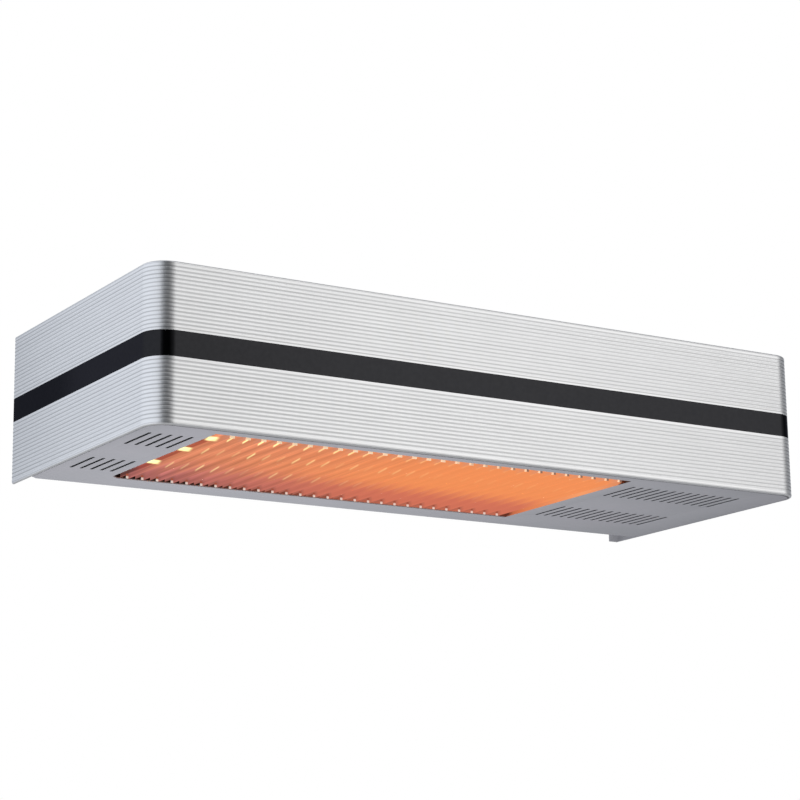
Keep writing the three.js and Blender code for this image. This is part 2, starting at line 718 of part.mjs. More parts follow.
const finishes = {
  anodised: { color: 0xc9cbcf, roughness: 0.32, metalness: 1 },
  inlay: { color: 0x24262c, roughness: 0.25, metalness: 0 },
  silverPaint: { color: 0x9b9fa6, roughness: 0.45, metalness: 0.3 },
  zincSheet: { color: 0xb4b8bb, roughness: 0.4, metalness: 1 },
  bladeSteel: { color: 0xd08050, roughness: 0.35, metalness: 1 },
  polished: { color: 0xe4e4e2, roughness: 0.12, metalness: 1 },
  quartz: { color: 0xffd9a0, roughness: 0.05, metalness: 0 },
  tungsten: { color: 0xffb040, roughness: 0.5, metalness: 1 },
  ceramic: { color: 0xe9e4d8, roughness: 0.6, metalness: 0 },
  nylon: { color: 0x1c1d20, roughness: 0.5, metalness: 0 },
  bracketPaint: { color: 0x3a3c40, roughness: 0.5, metalness: 0.2 },
};

const heater = new THREE.Group();
const wall = new THREE.Group();

function add(group, name, geometry, finish) {
  const mesh = new THREE.Mesh(geometry, new THREE.MeshStandardMaterial(finish));
  mesh.name = name;
  group.add(mesh);
  return mesh;
}

add(wall, 'wall_bracket', makeWallBracket(), finishes.bracketPaint);

add(heater, 'casing_band', makeCasingBand(), finishes.anodised);
add(heater, 'centre_strip', makeCentreStrip(), finishes.inlay);
add(heater, 'bottom_plate', makeBottomPlate(), finishes.silverPaint);
add(heater, 'top_cover', makeTopCover(), finishes.silverPaint);
add(heater, 'rear_panel', makeRearPanel(), finishes.zincSheet);

const blade = makeBlade();
bladePlaces().forEach((x, i) => {
  const name = `guard_blade_${String(i + 1).padStart(2, '0')}`;
  add(heater, name, blade, finishes.bladeSteel).position.x = x;
});
const frontRail = windowFront - RAIL_FRONT_SET;
const rearRail = windowRear + RAIL_REAR_SET;
const frontComb = makeCombRail(frontRail - RAIL_THICKNESS, frontRail, frontRail - RAIL_FOOT);
const rearComb = makeCombRail(rearRail, rearRail + RAIL_THICKNESS, rearRail + RAIL_FOOT);
add(heater, 'guard_rail_front', frontComb, finishes.zincSheet);
add(heater, 'guard_rail_rear', rearComb, finishes.zincSheet);

lampPlaces().forEach((y, i) => {
  add(heater, `lamp_tube_${i + 1}`, makeTube(y), finishes.quartz);
  add(heater, `lamp_filament_${i + 1}`, makeFilament(y), finishes.tungsten);
  add(heater, `lamp_cap_left_${i + 1}`, makeCap(y, -1), finishes.ceramic);
  add(heater, `lamp_cap_right_${i + 1}`, makeCap(y, 1), finishes.ceramic);
});
add(heater, 'lamp_holder_left', makeLampHolder(-1), finishes.zincSheet);
add(heater, 'lamp_holder_right', makeLampHolder(1), finishes.zincSheet);
add(heater, 'bulkhead_left', makeBulkhead(leftWeb, -1), finishes.zincSheet);
add(heater, 'bulkhead_right', makeBulkhead(rightWeb, 1), finishes.zincSheet);
add(heater, 'reflector', makeReflector(), finishes.polished);
add(heater, 'heat_shield', makeHeatShield(), finishes.zincSheet);
add(heater, 'terminal_block', makeTerminalBlock(), finishes.ceramic);
add(heater, 'cable_gland', makeCableGland(), finishes.nylon);
add(heater, 'gland_nut', makeGlandNut(), finishes.nylon);

const barHeater = new THREE.Group();
barHeater.add(wall, heater);

export default barHeater;
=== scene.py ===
# A wall-hung infrared bar heater: ribbed aluminium casing, black inlay strip and a glowing louvred guard.
import json
import math
import bmesh
import bpy
from mathutils import Matrix, Vector


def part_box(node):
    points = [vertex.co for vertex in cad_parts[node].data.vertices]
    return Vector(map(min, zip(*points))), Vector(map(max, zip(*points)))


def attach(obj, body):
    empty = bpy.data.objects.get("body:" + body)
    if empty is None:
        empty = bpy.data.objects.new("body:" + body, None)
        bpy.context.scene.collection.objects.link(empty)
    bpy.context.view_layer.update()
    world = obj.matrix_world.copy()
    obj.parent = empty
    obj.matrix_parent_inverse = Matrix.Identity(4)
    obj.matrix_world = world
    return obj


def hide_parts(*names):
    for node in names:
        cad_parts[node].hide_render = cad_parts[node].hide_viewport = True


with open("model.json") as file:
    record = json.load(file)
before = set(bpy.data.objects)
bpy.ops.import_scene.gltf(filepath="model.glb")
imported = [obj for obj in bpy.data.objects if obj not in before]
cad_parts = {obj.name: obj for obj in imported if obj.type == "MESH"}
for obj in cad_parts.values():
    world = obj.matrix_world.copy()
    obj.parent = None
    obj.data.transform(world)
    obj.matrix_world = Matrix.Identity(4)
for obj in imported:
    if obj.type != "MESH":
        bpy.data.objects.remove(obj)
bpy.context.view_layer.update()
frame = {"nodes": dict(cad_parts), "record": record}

MM = 0.001
BODY = "heater"

# ---- Camera: low, at the front left, looking up at the underside
CAMERA_PLACE = Vector((-1.1745, -1.9950, -0.4963))
CAMERA_LOOK = Vector((0.517086, 0.824660, 0.229256))
CAMERA_UP = Vector((-0.109156, -0.202122, 0.973258))
FRAME_PIXELS = 800
FOCAL_PIXELS = 2295.24
SENSOR_MM = 36
CLIP_START = 0.05


def new_object(name, data):
    piece = bpy.data.objects.new(name, data)
    bpy.context.scene.collection.objects.link(piece)
    return piece


def make_camera():
    data = bpy.data.cameras.new("camera")
    data.sensor_width = SENSOR_MM
    data.lens = FOCAL_PIXELS / FRAME_PIXELS * SENSOR_MM
    data.clip_start = CLIP_START
    camera = new_object("camera", data)
    back = -CAMERA_LOOK.normalized()
    right = CAMERA_UP.cross(back).normalized()
    up = back.cross(right)
    turn = Matrix((right, up, back)).transposed().to_4x4()
    camera.matrix_world = Matrix.Translation(CAMERA_PLACE) @ turn
    bpy.context.scene.camera = camera


make_camera()

# ---- Sizes, in millimetres, read from the frame or named here
band_low, band_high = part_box("casing_band")
HALF_LENGTH = band_high.x / MM
DEPTH = -band_low.y / MM
HALF_HEIGHT = band_high.z / MM
plate_low, plate_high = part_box("bottom_plate")
PLATE_UNDER = plate_low.z / MM
SHEET = (plate_high.z - plate_low.z) / MM
PLATE_HALF = plate_high.x / MM
PLATE_FRONT = plate_low.y / MM
PLATE_REAR = plate_high.y / MM
COVER_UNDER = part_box("top_cover")[0].z / MM
panel_low, panel_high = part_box("rear_panel")
PANEL_FRONT = panel_low.y / MM
PANEL_BACK = panel_high.y / MM
strip_low, strip_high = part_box("centre_strip")
HALF_STRIP = (strip_high.z - strip_low.z) / 2 / MM
STRIP_RISE = (strip_high.z + strip_low.z) / 2 / MM

CORNER_RADIUS = 22
CORNER_STEPS = 24
BAND_WALL = 2.4
EDGE_RADIUS = 2
RIB_PITCH = 3.6
RIB_START = 4.7
RIB_COUNT = 15
GROOVE_WIDTH = 2.3
GROOVE_DEPTH = 0.3
GROOVE_SAMPLES = 10
STRIP_THICKNESS = 1.2
STRIP_EDGE = 0.25
CHANNEL_EDGE = 0.12
INNER_EDGE = 0.3
SEAT_GAP = 0.3
LEDGE_REACH = 6
LEDGE_THICKNESS = 2
BACKING_MARGIN = 4
BACKING_DEPTH = 1.8
END_LIP_REACH = 9.4
END_LIP_THICKNESS = 1.5
END_LIP_RISE = 8
PLATE_CORNER = 18.8
PLATE_CORNER_CUT = 6
SHEET_EDGE = 0.2
MESH_THICKNESS = 0.3

WINDOW_LEFT = -HALF_LENGTH + 68.6
WINDOW_LENGTH = 446.8
WINDOW_RIGHT = WINDOW_LEFT + WINDOW_LENGTH
WINDOW_FRONT = -DEPTH + 16.6
WINDOW_REAR = -70
WINDOW_CORNER_CUT = 7
VENT_WIDTH = 3
VENT_LENGTH = 51.5
VENT_PITCH = 10
VENT_LEFT_START = WINDOW_LEFT - 11.6
VENT_RIGHT_START = WINDOW_RIGHT + 20.6
VENT_LEFT_COUNT = 5
VENT_RIGHT_COUNT = 14
VENT_FRONT_Y = -DEPTH + 63
VENT_REAR_Y = -DEPTH + 178.3

BLADE_COUNT = 28
BLADE_PITCH = 15.5
BLADE_THICKNESS = 0.8
BLADE_TAB = 2.2
BLADE_STEP = 4.4
FRONT_TAB_DROP = 0.4
FRONT_TAB_EXTRA = 1.8
BLADE_EXTRA = 0.8
blade_low, blade_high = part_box("guard_blade_01")
BLADE_UNDER = blade_low.z / MM
BLADE_TOP = blade_high.z / MM
BLADE_FRONT = WINDOW_FRONT + 7.4
BLADE_REAR = WINDOW_REAR - 2.5
LUG_FRONT = blade_low.y / MM
LUG_REAR = blade_high.y / MM
FIRST_BLADE = blade_low.x / MM + BLADE_TAB + BLADE_THICKNESS / 2


# ---- Colours and nodes

def srgb(code):
    """An sRGB hex value as linear RGBA."""
    parts = [int(code[i:i + 2], 16) / 255 for i in (1, 3, 5)]
    return [c / 12.92 if c <= 0.04045 else ((c + 0.055) / 1.055) ** 2.4 for c in parts] + [1.0]


def add(tree, kind, inputs=None, **settings):
    """A node with its settings; an input given as a socket is linked, and any other value is set."""
    node = tree.nodes.new(kind)
    for key, value in settings.items():
        setattr(node, key, value)
    for key, value in (inputs or {}).items():
        socket = node.inputs[key]
        if isinstance(value, bpy.types.NodeSocket):
            tree.links.new(value, socket)
        else:
            socket.default_value = value
    return node


def math_node(tree, operation, a, b=0.0, c=0.0):
    return add(tree, "ShaderNodeMath", {0: a, 1: b, 2: c}, operation=operation).outputs[0]


def times(tree, a, b):
    return math_node(tree, "MULTIPLY", a, b)


def minus(tree, a, b):
    return math_node(tree, "SUBTRACT", a, b)


def absolute(tree, value):
    return math_node(tree, "ABSOLUTE", value)


def linear(tree, value, slope, offset):
    return math_node(tree, "MULTIPLY_ADD", value, slope, offset)


def surface(name):
    """An empty material; returns its tree and a function that finishes it from its shader's inputs."""
    material = bpy.data.materials.new(name)
    material.use_nodes = True
    tree = material.node_tree
    tree.nodes.clear()

    def finish(inputs, kind="ShaderNodeBsdfPrincipled"):
        add(tree, "ShaderNodeOutputMaterial", {"Surface": add(tree, kind, inputs).outputs[0]})
        return material

    return tree, finish


def ramp(tree, factor, stops):
    """A colour ramp through (position, sRGB hex value) stops."""
    node = add(tree, "ShaderNodeValToRGB", {"Fac": factor})
    elements = node.color_ramp.elements
    for element, (position, code) in zip(elements, (stops[0], stops[-1])):
        element.position, element.color = position, srgb(code)
    for position, code in stops[1:-1]:
        elements.new(position).color = srgb(code)
    return node.outputs["Color"]


def shades(tree, factor, low, high):
    """Two close shades of one material, told apart by a noise."""
    return ramp(tree, factor, [(0.3, low), (0.7, high)])


def own_place(tree):
    """The place on the piece in its own coordinates, in metres."""
    return add(tree, "ShaderNodeTexCoord").outputs["Object"]


def place_axes(tree):
    return add(tree, "ShaderNodeSeparateXYZ", {0: own_place(tree)}).outputs


def noise(tree, scale, detail=2.0, stretch=(1, 1, 1)):
    """Noise on the piece's own coordinates; stretch gives each axis its share of the scale, in 1/m."""
    mapped = add(tree, "ShaderNodeMapping", {"Vector": own_place(tree), "Scale": stretch})
    node = add(tree, "ShaderNodeTexNoise", {"Vector": mapped.outputs[0], "Scale": scale, "Detail": detail})
    return node.outputs["Fac"]


def white_noise(tree, seed):
    """A value from 0 to 1 that is mere luck, but always the same for the same seed."""
    return add(tree, "ShaderNodeTexWhiteNoise", {"W": seed}, noise_dimensions="1D").outputs["Value"]


def between(tree, factor, low, high, start=0.0, end=1.0, interpolation="LINEAR"):
    """Maps factor from start..end to low..high."""
    node = add(tree, "ShaderNodeMapRange", {
        "Value": factor, "From Min": start, "From Max": end, "To Min": low, "To Max": high},
        interpolation_type=interpolation)
    return node.outputs["Result"]


def mix(tree, factor, a, b, blend="MIX"):
    return add(tree, "ShaderNodeMix", {0: factor, 6: a, 7: b}, data_type="RGBA", blend_type=blend).outputs[2]


# ---- Materials

UPPER_FIELD_SEED = 31.0
BLADE_GLOW = 2.05


def anodised_aluminium():
    # Extruded aluminium, satin anodised: bright silver crests and faint die lines 0.7 mm apart along the
    # ribs; the grooves are greyer with painted shade, of uneven strength from groove to groove, and a
    # painted shade line runs where the rounded rim starts.
    tree, finish = surface("anodised_aluminium")
    level = place_axes(tree)["Z"]
    height = absolute(tree, minus(tree, level, STRIP_RISE * MM))
    first_groove = HALF_STRIP + RIB_START
    ribs = math_node(tree, "DIVIDE", minus(tree, height, first_groove * MM), RIB_PITCH * MM)
    above = math_node(tree, "GREATER_THAN", level, STRIP_RISE * MM)
    luck = white_noise(tree, linear(tree, above, UPPER_FIELD_SEED, math_node(tree, "ROUND", ribs)))
    last_groove = first_groove + (RIB_COUNT - 1) * RIB_PITCH
    inside_field = between(tree, height, 1.0, 0.0, (last_groove + 1.4) * MM, (last_groove + 2.0) * MM)
    # Painted shade in each groove, of uneven strength from groove to groove.
    groove_shade = between(tree, math_node(tree, "PINGPONG", ribs, 0.5), 1.0, 0.0, 0.03, 0.27, "SMOOTHSTEP")
    groove = times(tree, inside_field, times(tree, groove_shade, between(tree, luck, 0.75, 1.0)))
    # A thin painted shade line where the rounded rim starts, joined to the grooves' painted shade.
    rim_off = absolute(tree, minus(tree, absolute(tree, level), (HALF_HEIGHT - EDGE_RADIUS) * MM))
    rim_shade_line = between(tree, rim_off, 0.6, 0.0, 0.1 * MM, 0.6 * MM, "SMOOTHSTEP")
    groove = math_node(tree, "MAXIMUM", groove, rim_shade_line)
    die_lines = noise(tree, 1.0, 3.0, (10, 10, 1400))
    clouding = noise(tree, 14.0)
    bump = add(tree, "ShaderNodeBump", {"Height": die_lines, "Strength": 0.2, "Distance": 0.03 * MM})
    crest = shades(tree, clouding, "#F8F8F8", "#FCFCFC")
    tint = mix(tree, groove, crest, srgb("#C4C4C4"))
    return finish({
        "Base Color": tint, "Metallic": 1.0, "Roughness": between(tree, die_lines, 0.34, 0.41),
        "Normal": bump.outputs[0]})


def mill_aluminium():
    # The casing's inner ledges, as extruded: duller than the anodised face, with die lines; their greyer
    # tone is partly painted shade, so that the gap between band and plate reads as a dark line.
    tree, finish = surface("mill_finish_aluminium")
    die_lines = noise(tree, 1.0, 3.0, (10, 10, 900))
    tint = shades(tree, die_lines, "#A6A5A2", "#B8B7B4")
    return finish({
        "Base Color": tint, "Metallic": 1.0, "Roughness": between(tree, die_lines, 0.42, 0.52)})


def black_inlay():
    # Black anodised strip, polished: almost a dark mirror, with a very slight ripple and haze.
    tree, finish = surface("black_anodised_strip")
    ripple = noise(tree, 60.0, 1.0, (1, 1, 0.2))
    bump = add(tree, "ShaderNodeBump", {"Height": ripple, "Strength": 0.06, "Distance": 0.05 * MM})
    haze = noise(tree, 300.0, 3.0)
    tint = shades(tree, haze, "#2E2E30", "#323234")
    return finish({
        "Base Color": tint, "Metallic": 1.0, "Specular Tint": srgb("#BABABE"),
        "Roughness": between(tree, haze, 0.10, 0.16), "Normal": bump.outputs[0]})


def powder_coat(name, low, high, pebble_size=1.1):
    # Polyester powder coat: matt, with a fine pebbled skin (about 1 mm) and a slow drift in tone.
    tree, finish = surface(name)
    pebble = noise(tree, 1000.0 / pebble_size)
    drift = noise(tree, 9.0)
    bump = add(tree, "ShaderNodeBump", {"Height": pebble, "Strength": 0.18, "Distance": 0.05 * MM})
    tint = shades(tree, drift, low, high)
    return finish({
        "Base Color": tint, "Roughness": between(tree, pebble, 0.5, 0.62), "Normal": bump.outputs[0]})


def shaded_cut_edge():
    # Punched walls of the vents: dull, and painted dark as the shade inside the narrow cuts.
    tree, finish = surface("punched_edge_painted_shade")
    grain = noise(tree, 1200.0)
    tint = shades(tree, grain, "#34363A", "#44464A")
    return finish({
        "Base Color": tint, "Roughness": between(tree, grain, 0.6, 0.7)})


def zinc_sheet():
    # Hot-dip zinc-coated sheet: dull metal with a faint crystal spangle some 5 mm across.
    tree, finish = surface("zinc_coated_sheet")
    spangle = add(tree, "ShaderNodeTexVoronoi", {"Vector": own_place(tree), "Scale": 180.0}).outputs["Color"]
    shade = add(tree, "ShaderNodeRGBToBW", {"Color": spangle}).outputs[0]
    tint = ramp(tree, shade, [(0.2, "#9DA1A4"), (0.8, "#B4B8BA")])
    return finish({
        "Base Color": tint, "Metallic": 0.9, "Roughness": between(tree, shade, 0.38, 0.5)})


def zinc_screw():
    # Bright zinc-plated screw steel, a little yellowed.
    tree, finish = surface("zinc_plated_screw")
    stain = noise(tree, 500.0)
    tint = shades(tree, stain, "#B9B9B4", "#D2D2CD")
    return finish({
        "Base Color": tint, "Metallic": 1.0, "Roughness": between(tree, stain, 0.25, 0.38)})


def along_depth(tree, stops):
    """A colour ramp by place from the wall (Y = 0) to the front, with stops given as (Y in mm, code)."""
    share = between(tree, place_axes(tree)["Y"], 0.0, 1.0, -DEPTH * MM, 0.0)
    return ramp(tree, share, [((y + DEPTH) / DEPTH, code) for y, code in sorted(stops)])


def blade_steel():
    """Thin stainless strip, heat-tinted, with the lamps' light on it painted in as glow: orange in front,
    redder towards the wall, paler and streakier towards the left end, paler at the front end and darker at
    the rear end, with painted shade by height and a painted streak of light below each lamp."""
    tree, finish = surface("guard_strip_steel")
    axes = place_axes(tree)
    # The emission colour is the lamps' light painted on the blades: orange in front, redder towards the
    # wall.
    to_wall = between(tree, axes["Y"], 0.0, 1.0, -170 * MM, -105 * MM, "SMOOTHSTEP")
    right = mix(tree, to_wall, srgb("#EA8E58"), srgb("#CC7058"))
    to_wall = between(tree, axes["Y"], 0.0, 1.0, -190 * MM, -70 * MM, "SMOOTHSTEP")
    left = mix(tree, to_wall, srgb("#D08260"), srgb("#A86460"))
    to_left = between(tree, axes["X"], 0.0, 1.0, 20 * MM, (WINDOW_LEFT + 15) * MM, "SMOOTHSTEP")
    colour = mix(tree, to_left, right, left)
    front_end = between(tree, axes["Y"], 0.6, 0.0, -282 * MM, -260 * MM)
    colour = mix(tree, front_end, colour, srgb("#B89080"))
    rear_end = between(tree, axes["Y"], 0.0, 0.5, -80 * MM, -72 * MM)
    colour = mix(tree, rear_end, colour, srgb("#7A5048"))
    # Painted shade by height on each blade face.
    height = between(tree, axes["Z"], 0.0, 1.0, BLADE_UNDER * MM, BLADE_TOP * MM)
    shade = ramp(tree, height, [
        (0.0, "#C4C4C4"), (0.36, "#B0B0B0"), (0.65, "#CCCCCC"), (1.0, "#D6D6D6")])
    even = mix(tree, linear(tree, to_left, 0.86, 0.14), srgb("#BCBCBC"), shade)
    # Streaky noise: it varies the roughness and the strength of the painted glow.
    smear_and_glow_noise = noise(tree, 1.0, 2.0, (60, 14, 700))
    uneven = times(tree, between(tree, smear_and_glow_noise, -1.0, 1.0, 0.25, 0.75), linear(tree, to_left, 0.2, 0.02))
    even = times(tree, even, linear(tree, uneven, BLADE_GLOW, BLADE_GLOW))
    streaks = lamp_streaks(tree, axes, to_left)
    # Painted shade over the upper part of the first blade, from the front lamp back: dark red, turning black
    # near the wall.
    on_first = math_node(tree, "LESS_THAN", axes["X"], (FIRST_BLADE + 2) * MM)
    edge = times(tree, on_first, between(tree, linear(tree, smear_and_glow_noise, 3 * MM, axes["Z"]), 0.0, 0.8,
                                         (BLADE_UNDER + 5.6) * MM, (BLADE_UNDER + 6.8) * MM))
    edge = times(tree, edge, between(tree, axes["Y"], 0.0, 0.9, -250 * MM, -232 * MM))
    shade_blacker_to_wall = between(tree, axes["Y"], 0.0, 1.0, -100 * MM, -84 * MM)
    colour = mix(tree, edge, colour, mix(tree, shade_blacker_to_wall, srgb("#7A2E26"), srgb("#1C1210")))
    # Painted highlights: pale yellow where the painted lamp light is strongest.
    glow = mix(tree, streaks, colour, srgb("#FFF0A8"))
    strength = linear(tree, streaks, 0.25, even)
    return finish({
        "Base Color": srgb("#4A3830"), "Metallic": 1.0, "Specular Tint": srgb("#6A4A38"),
        "Roughness": between(tree, smear_and_glow_noise, 0.32, 0.42),
        "Emission Color": glow, "Emission Strength": strength})


# Each row of painted streaks of lamp light: Y, height over the blade's foot, half length, weight and share
# of luck
STREAK_ROWS = [(-248.0, 5.4, 6.5, 1.0, 0.3), (-200.0, 3.9, 8.0, 0.8, 0.8), (-128.5, 4.5, 9.0, 0.5, 0.8)]
STREAK_HALF_HEIGHT = 0.75
STREAK_SLOPE = 0.1
# Each block of painted lamp light on the first blade: Y, height over its foot, half length
BLOCKS = [(-243.0, 5.3, 18.0), (-190.5, 6.0, 20.0), (-126.5, 6.35, 22.0)]
BLOCK_HALF_HEIGHT = 1.9
BLOCK_SLOPE = 0.25
BLOCK_END_SLOPE = 3.0


def soft_box(tree, value, middle, half, edge):
    """One where value (in metres) is within half of middle (in mm), fading to nought over edge."""
    off = absolute(tree, minus(tree, value, middle * MM))
    return between(tree, off, 1.0, 0.0, (half - edge) * MM, (half + edge) * MM, "SMOOTHSTEP")


def lamp_streaks(tree, axes, to_left):
    """Painted light of the lamps on the blades below each lamp: blocks on the first blade and slim streaks
    on the others, of uneven strength and weaker towards the right end."""
    from_first = minus(tree, axes["X"], FIRST_BLADE * MM)
    blade = math_node(tree, "ROUND", math_node(tree, "DIVIDE", from_first, BLADE_PITCH * MM))
    first = math_node(tree, "LESS_THAN", blade, 0.5)
    others = minus(tree, 1.0, first)
    reach = between(tree, to_left, 0.10, 1.0)
    leaning = linear(tree, axes["Y"], STREAK_SLOPE, axes["Z"])
    total = 0.0
    for i, (y, level, length, weight, spread) in enumerate(STREAK_ROWS):
        luck = white_noise(tree, linear(tree, blade, 7.31, 13.7 + 5.9 * i))
        share = linear(tree, math_node(tree, "POWER", luck, 1.5), spread, 1.0 - spread)
        patch = times(tree, soft_box(tree, axes["Y"], y, length, length * 0.3), soft_box(
            tree, leaning, BLADE_UNDER + level + STREAK_SLOPE * y, STREAK_HALF_HEIGHT, 0.5))
        part = times(tree, times(tree, patch, share), times(tree, reach, weight))
        total = math_node(tree, "ADD", total, times(tree, part, others))
    level = linear(tree, axes["Y"], -BLOCK_SLOPE, axes["Z"])
    along = linear(tree, axes["Z"], BLOCK_END_SLOPE, axes["Y"])
    for y, z, half in BLOCKS:
        block = times(tree, soft_box(tree, level, BLADE_UNDER + z - BLOCK_SLOPE * y, BLOCK_HALF_HEIGHT, 0.8),
                      soft_box(tree, along, y + BLOCK_END_SLOPE * (BLADE_UNDER + z), half, 8.0))
        total = math_node(tree, "ADD", total, times(tree, block, first))
    return math_node(tree, "MINIMUM", total, 1.0)


def bright_tab_steel():
    # The blades' bent ends: bright stainless, with the lamps' light on them painted in as glow, warmer in
    # front.
    tree, finish = surface("bright_tab_steel")
    grain = noise(tree, 1.0, 2.0, (2500, 2500, 300))
    bright = shades(tree, grain, "#C4C0BA", "#D4D0CA")
    axes = place_axes(tree)
    rear = math_node(tree, "GREATER_THAN", axes["Y"], -DEPTH / 2 * MM)
    # The upper part of the rear tabs: darker from heat browning, and with painted shade, its painted glow
    # dimmer and redder.
    browned_and_shaded = times(tree, rear, between(
        tree, axes["Z"], 0.0, 1.0, (BLADE_UNDER + 1.6) * MM, (BLADE_UNDER + 2.6) * MM))
    tint = mix(tree, browned_and_shaded, bright, srgb("#5A382C"))
    light = mix(tree, browned_and_shaded, along_depth(tree, [(-270, "#FFDEB6"), (-80, "#D2CEC6")]), srgb("#A85A45"))
    # A painted shadow on the outer end of each front tab, stronger towards the right of the window.
    from_blade = math_node(tree, "WRAP", minus(tree, axes["X"], FIRST_BLADE * MM),
                           BLADE_PITCH / 2 * MM, -BLADE_PITCH / 2 * MM)
    tip = times(tree, between(tree, from_blade, 0.0, 1.0, 1.5 * MM, 2.1 * MM),
                between(tree, axes["X"], 0.0, 0.85, -60 * MM, 40 * MM))
    tip = times(tree, tip, minus(tree, 1.0, rear))
    tint = mix(tree, tip, tint, srgb("#3A2620"))
    light = mix(tree, tip, light, srgb("#6E4034"))
    return finish({
        "Base Color": tint, "Metallic": 1.0, "Roughness": between(tree, grain, 0.3, 0.42),
        "Emission Color": light, "Emission Strength": 0.8})


def bulkhead_steel():
    # Sheet steel beside the lamps: browned by the heat, with uneven tint; the lamps' light on it is painted
    # in as glow, dark at the front end and near the wall.
    tree, finish = surface("heat_browned_bulkhead")
    stain = noise(tree, 45.0, 3.0)
    glow = along_depth(tree, [
        (-285, "#080404"), (-270, "#160806"), (-266, "#4A1C12"), (-263, "#DC8A60"), (-200, "#F29C68"),
        (-100, "#D87A50"), (-82, "#C06A48"), (-73, "#5A2C20")])
    return finish({
        "Base Color": shades(tree, stain, "#2A1E18", "#3E2E24"), "Metallic": 1.0,
        "Roughness": between(tree, stain, 0.4, 0.55), "Emission Color": glow, "Emission Strength": 1.0})


def rail_steel():
    # The comb rails: browned sheet steel, with the lamps' glow painted in as emission: black at the left
    # end, more glow to the right.
    tree, finish = surface("heat_browned_rail")
    stain = noise(tree, 45.0, 3.0)
    tint = shades(tree, stain, "#2A2320", "#3E342E")
    along = between(tree, place_axes(tree)["X"], 0.0, 1.0, WINDOW_LEFT * MM, WINDOW_RIGHT * MM)
    glow = ramp(tree, along, [(0.0, "#070404"), (0.22, "#1A0E0A"), (0.5, "#8A4A3A"),
                              (0.7, "#C06A52"), (1.0, "#C86E56")])
    return finish({
        "Base Color": tint, "Metallic": 1.0, "Roughness": between(tree, stain, 0.45, 0.6),
        "Emission Color": glow, "Emission Strength": 0.9})


def hot_reflector():
    # Polished aluminium trough, bright with the lamps' light and deep orange away from them; this light is
    # painted in as glow, brightest at the top.
    tree, finish = surface("polished_reflector")
    low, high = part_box("reflector")
    height = between(tree, place_axes(tree)["Z"], 0.0, 1.0, low.z, high.z)
    glow = ramp(tree, height, [(0.0, "#5A2418"), (0.5, "#B4552B"), (1.0, "#E8904A")])
    grain = noise(tree, 1.0, 2.0, (8, 500, 500))
    return finish({
        "Base Color": srgb("#B9B2A8"), "Metallic": 1.0, "Roughness": between(tree, grain, 0.15, 0.25),
        "Emission Color": glow, "Emission Strength": 0.75})


def quartz():
    # Clear fused quartz, filled with the filament's light.
    tree, finish = surface("quartz_glass")
    glow = shades(tree, noise(tree, 40.0, 1.0), "#FF9A3C", "#FFB054")
    return finish({
        "Base Color": srgb("#FFE0B0"), "Roughness": 0.05, "Alpha": 0.45,
        "Emission Color": glow, "Emission Strength": 1.2})


def tungsten():
    # Coiled tungsten wire at white-yellow heat.
    tree, finish = surface("hot_tungsten")
    glow = shades(tree, noise(tree, 200.0, 1.0), "#FFE27A", "#FFF3B4")
    return finish({
        "Base Color": srgb("#5A5048"), "Metallic": 1.0, "Roughness": 0.4,
        "Emission Color": glow, "Emission Strength": 3.0})


def ceramic():
    # Unglazed steatite: chalky white with fine speckle.
    tree, finish = surface("steatite_ceramic")
    speckle = noise(tree, 700.0)
    bump = add(tree, "ShaderNodeBump", {"Height": speckle, "Strength": 0.2, "Distance": 0.05 * MM})
    tint = ramp(tree, speckle, [(0.35, "#DDD8CC"), (0.6, "#EDE9E0")])
    return finish({
        "Base Color": tint, "Roughness": between(tree, speckle, 0.65, 0.75), "Normal": bump.outputs[0]})


def black_nylon():
    # Moulded nylon with a fine spark-eroded grain.
    tree, finish = surface("moulded_nylon")
    grain = noise(tree, 1500.0)
    bump = add(tree, "ShaderNodeBump", {"Height": grain, "Strength": 0.3, "Distance": 0.04 * MM})
    tint = shades(tree, grain, "#17181A", "#212225")
    return finish({
        "Base Color": tint, "Roughness": between(tree, grain, 0.42, 0.52), "Normal": bump.outputs[0]})


def vent_shade_cloth():
    # A black cloth behind the vents, standing in for the shade inside the casing; its 1.2 mm weave is drawn,
    # not modelled.
    tree, finish = surface("black_cloth_for_vent_shade")
    weave = add(tree, "ShaderNodeTexChecker", {"Vector": own_place(tree), "Scale": 1700.0}).outputs["Fac"]
    tint = mix(tree, weave, srgb("#0B0C0E"), srgb("#1A1C20"))
    return finish({"Base Color": tint, "Roughness": 0.8})


MATERIALS = {
    "anodised_band": anodised_aluminium(),
    "black_inlay": black_inlay(),
    "silver_paint": powder_coat("silver_powder_coat", "#909196", "#96959B"),
    "zinc_sheet": zinc_sheet(),
    "guard_steel": blade_steel(),
    "polished_reflector": hot_reflector(),
    "quartz": quartz(),
    "tungsten": tungsten(),
    "ceramic": ceramic(),
    "black_nylon": black_nylon(),
    "bracket_paint": powder_coat("bracket_powder_coat", "#36383B", "#3E4043", 0.8),
}
TAB_STEEL = bright_tab_steel()
MILL_ALUMINIUM = mill_aluminium()
SHADED_CUT_EDGE = shaded_cut_edge()
SCREW_ZINC = zinc_screw()
VENT_SHADE_CLOTH = vent_shade_cloth()
RAIL_STEEL = rail_steel()
BULKHEAD_STEEL = bulkhead_steel()
NODE_MATERIALS = {
    "guard_rail_front": RAIL_STEEL, "guard_rail_rear": RAIL_STEEL,
    "bulkhead_left": BULKHEAD_STEEL, "bulkhead_right": BULKHEAD_STEEL,
}


# ---- Mesh helpers

def new_mesh(name, vertices, edges=(), faces=()):
    """A mesh from points in millimetres."""
    mesh = bpy.data.meshes.new(name)
    mesh.from_pydata([Vector(v) * MM for v in vertices], list(edges), list(faces))
    return mesh


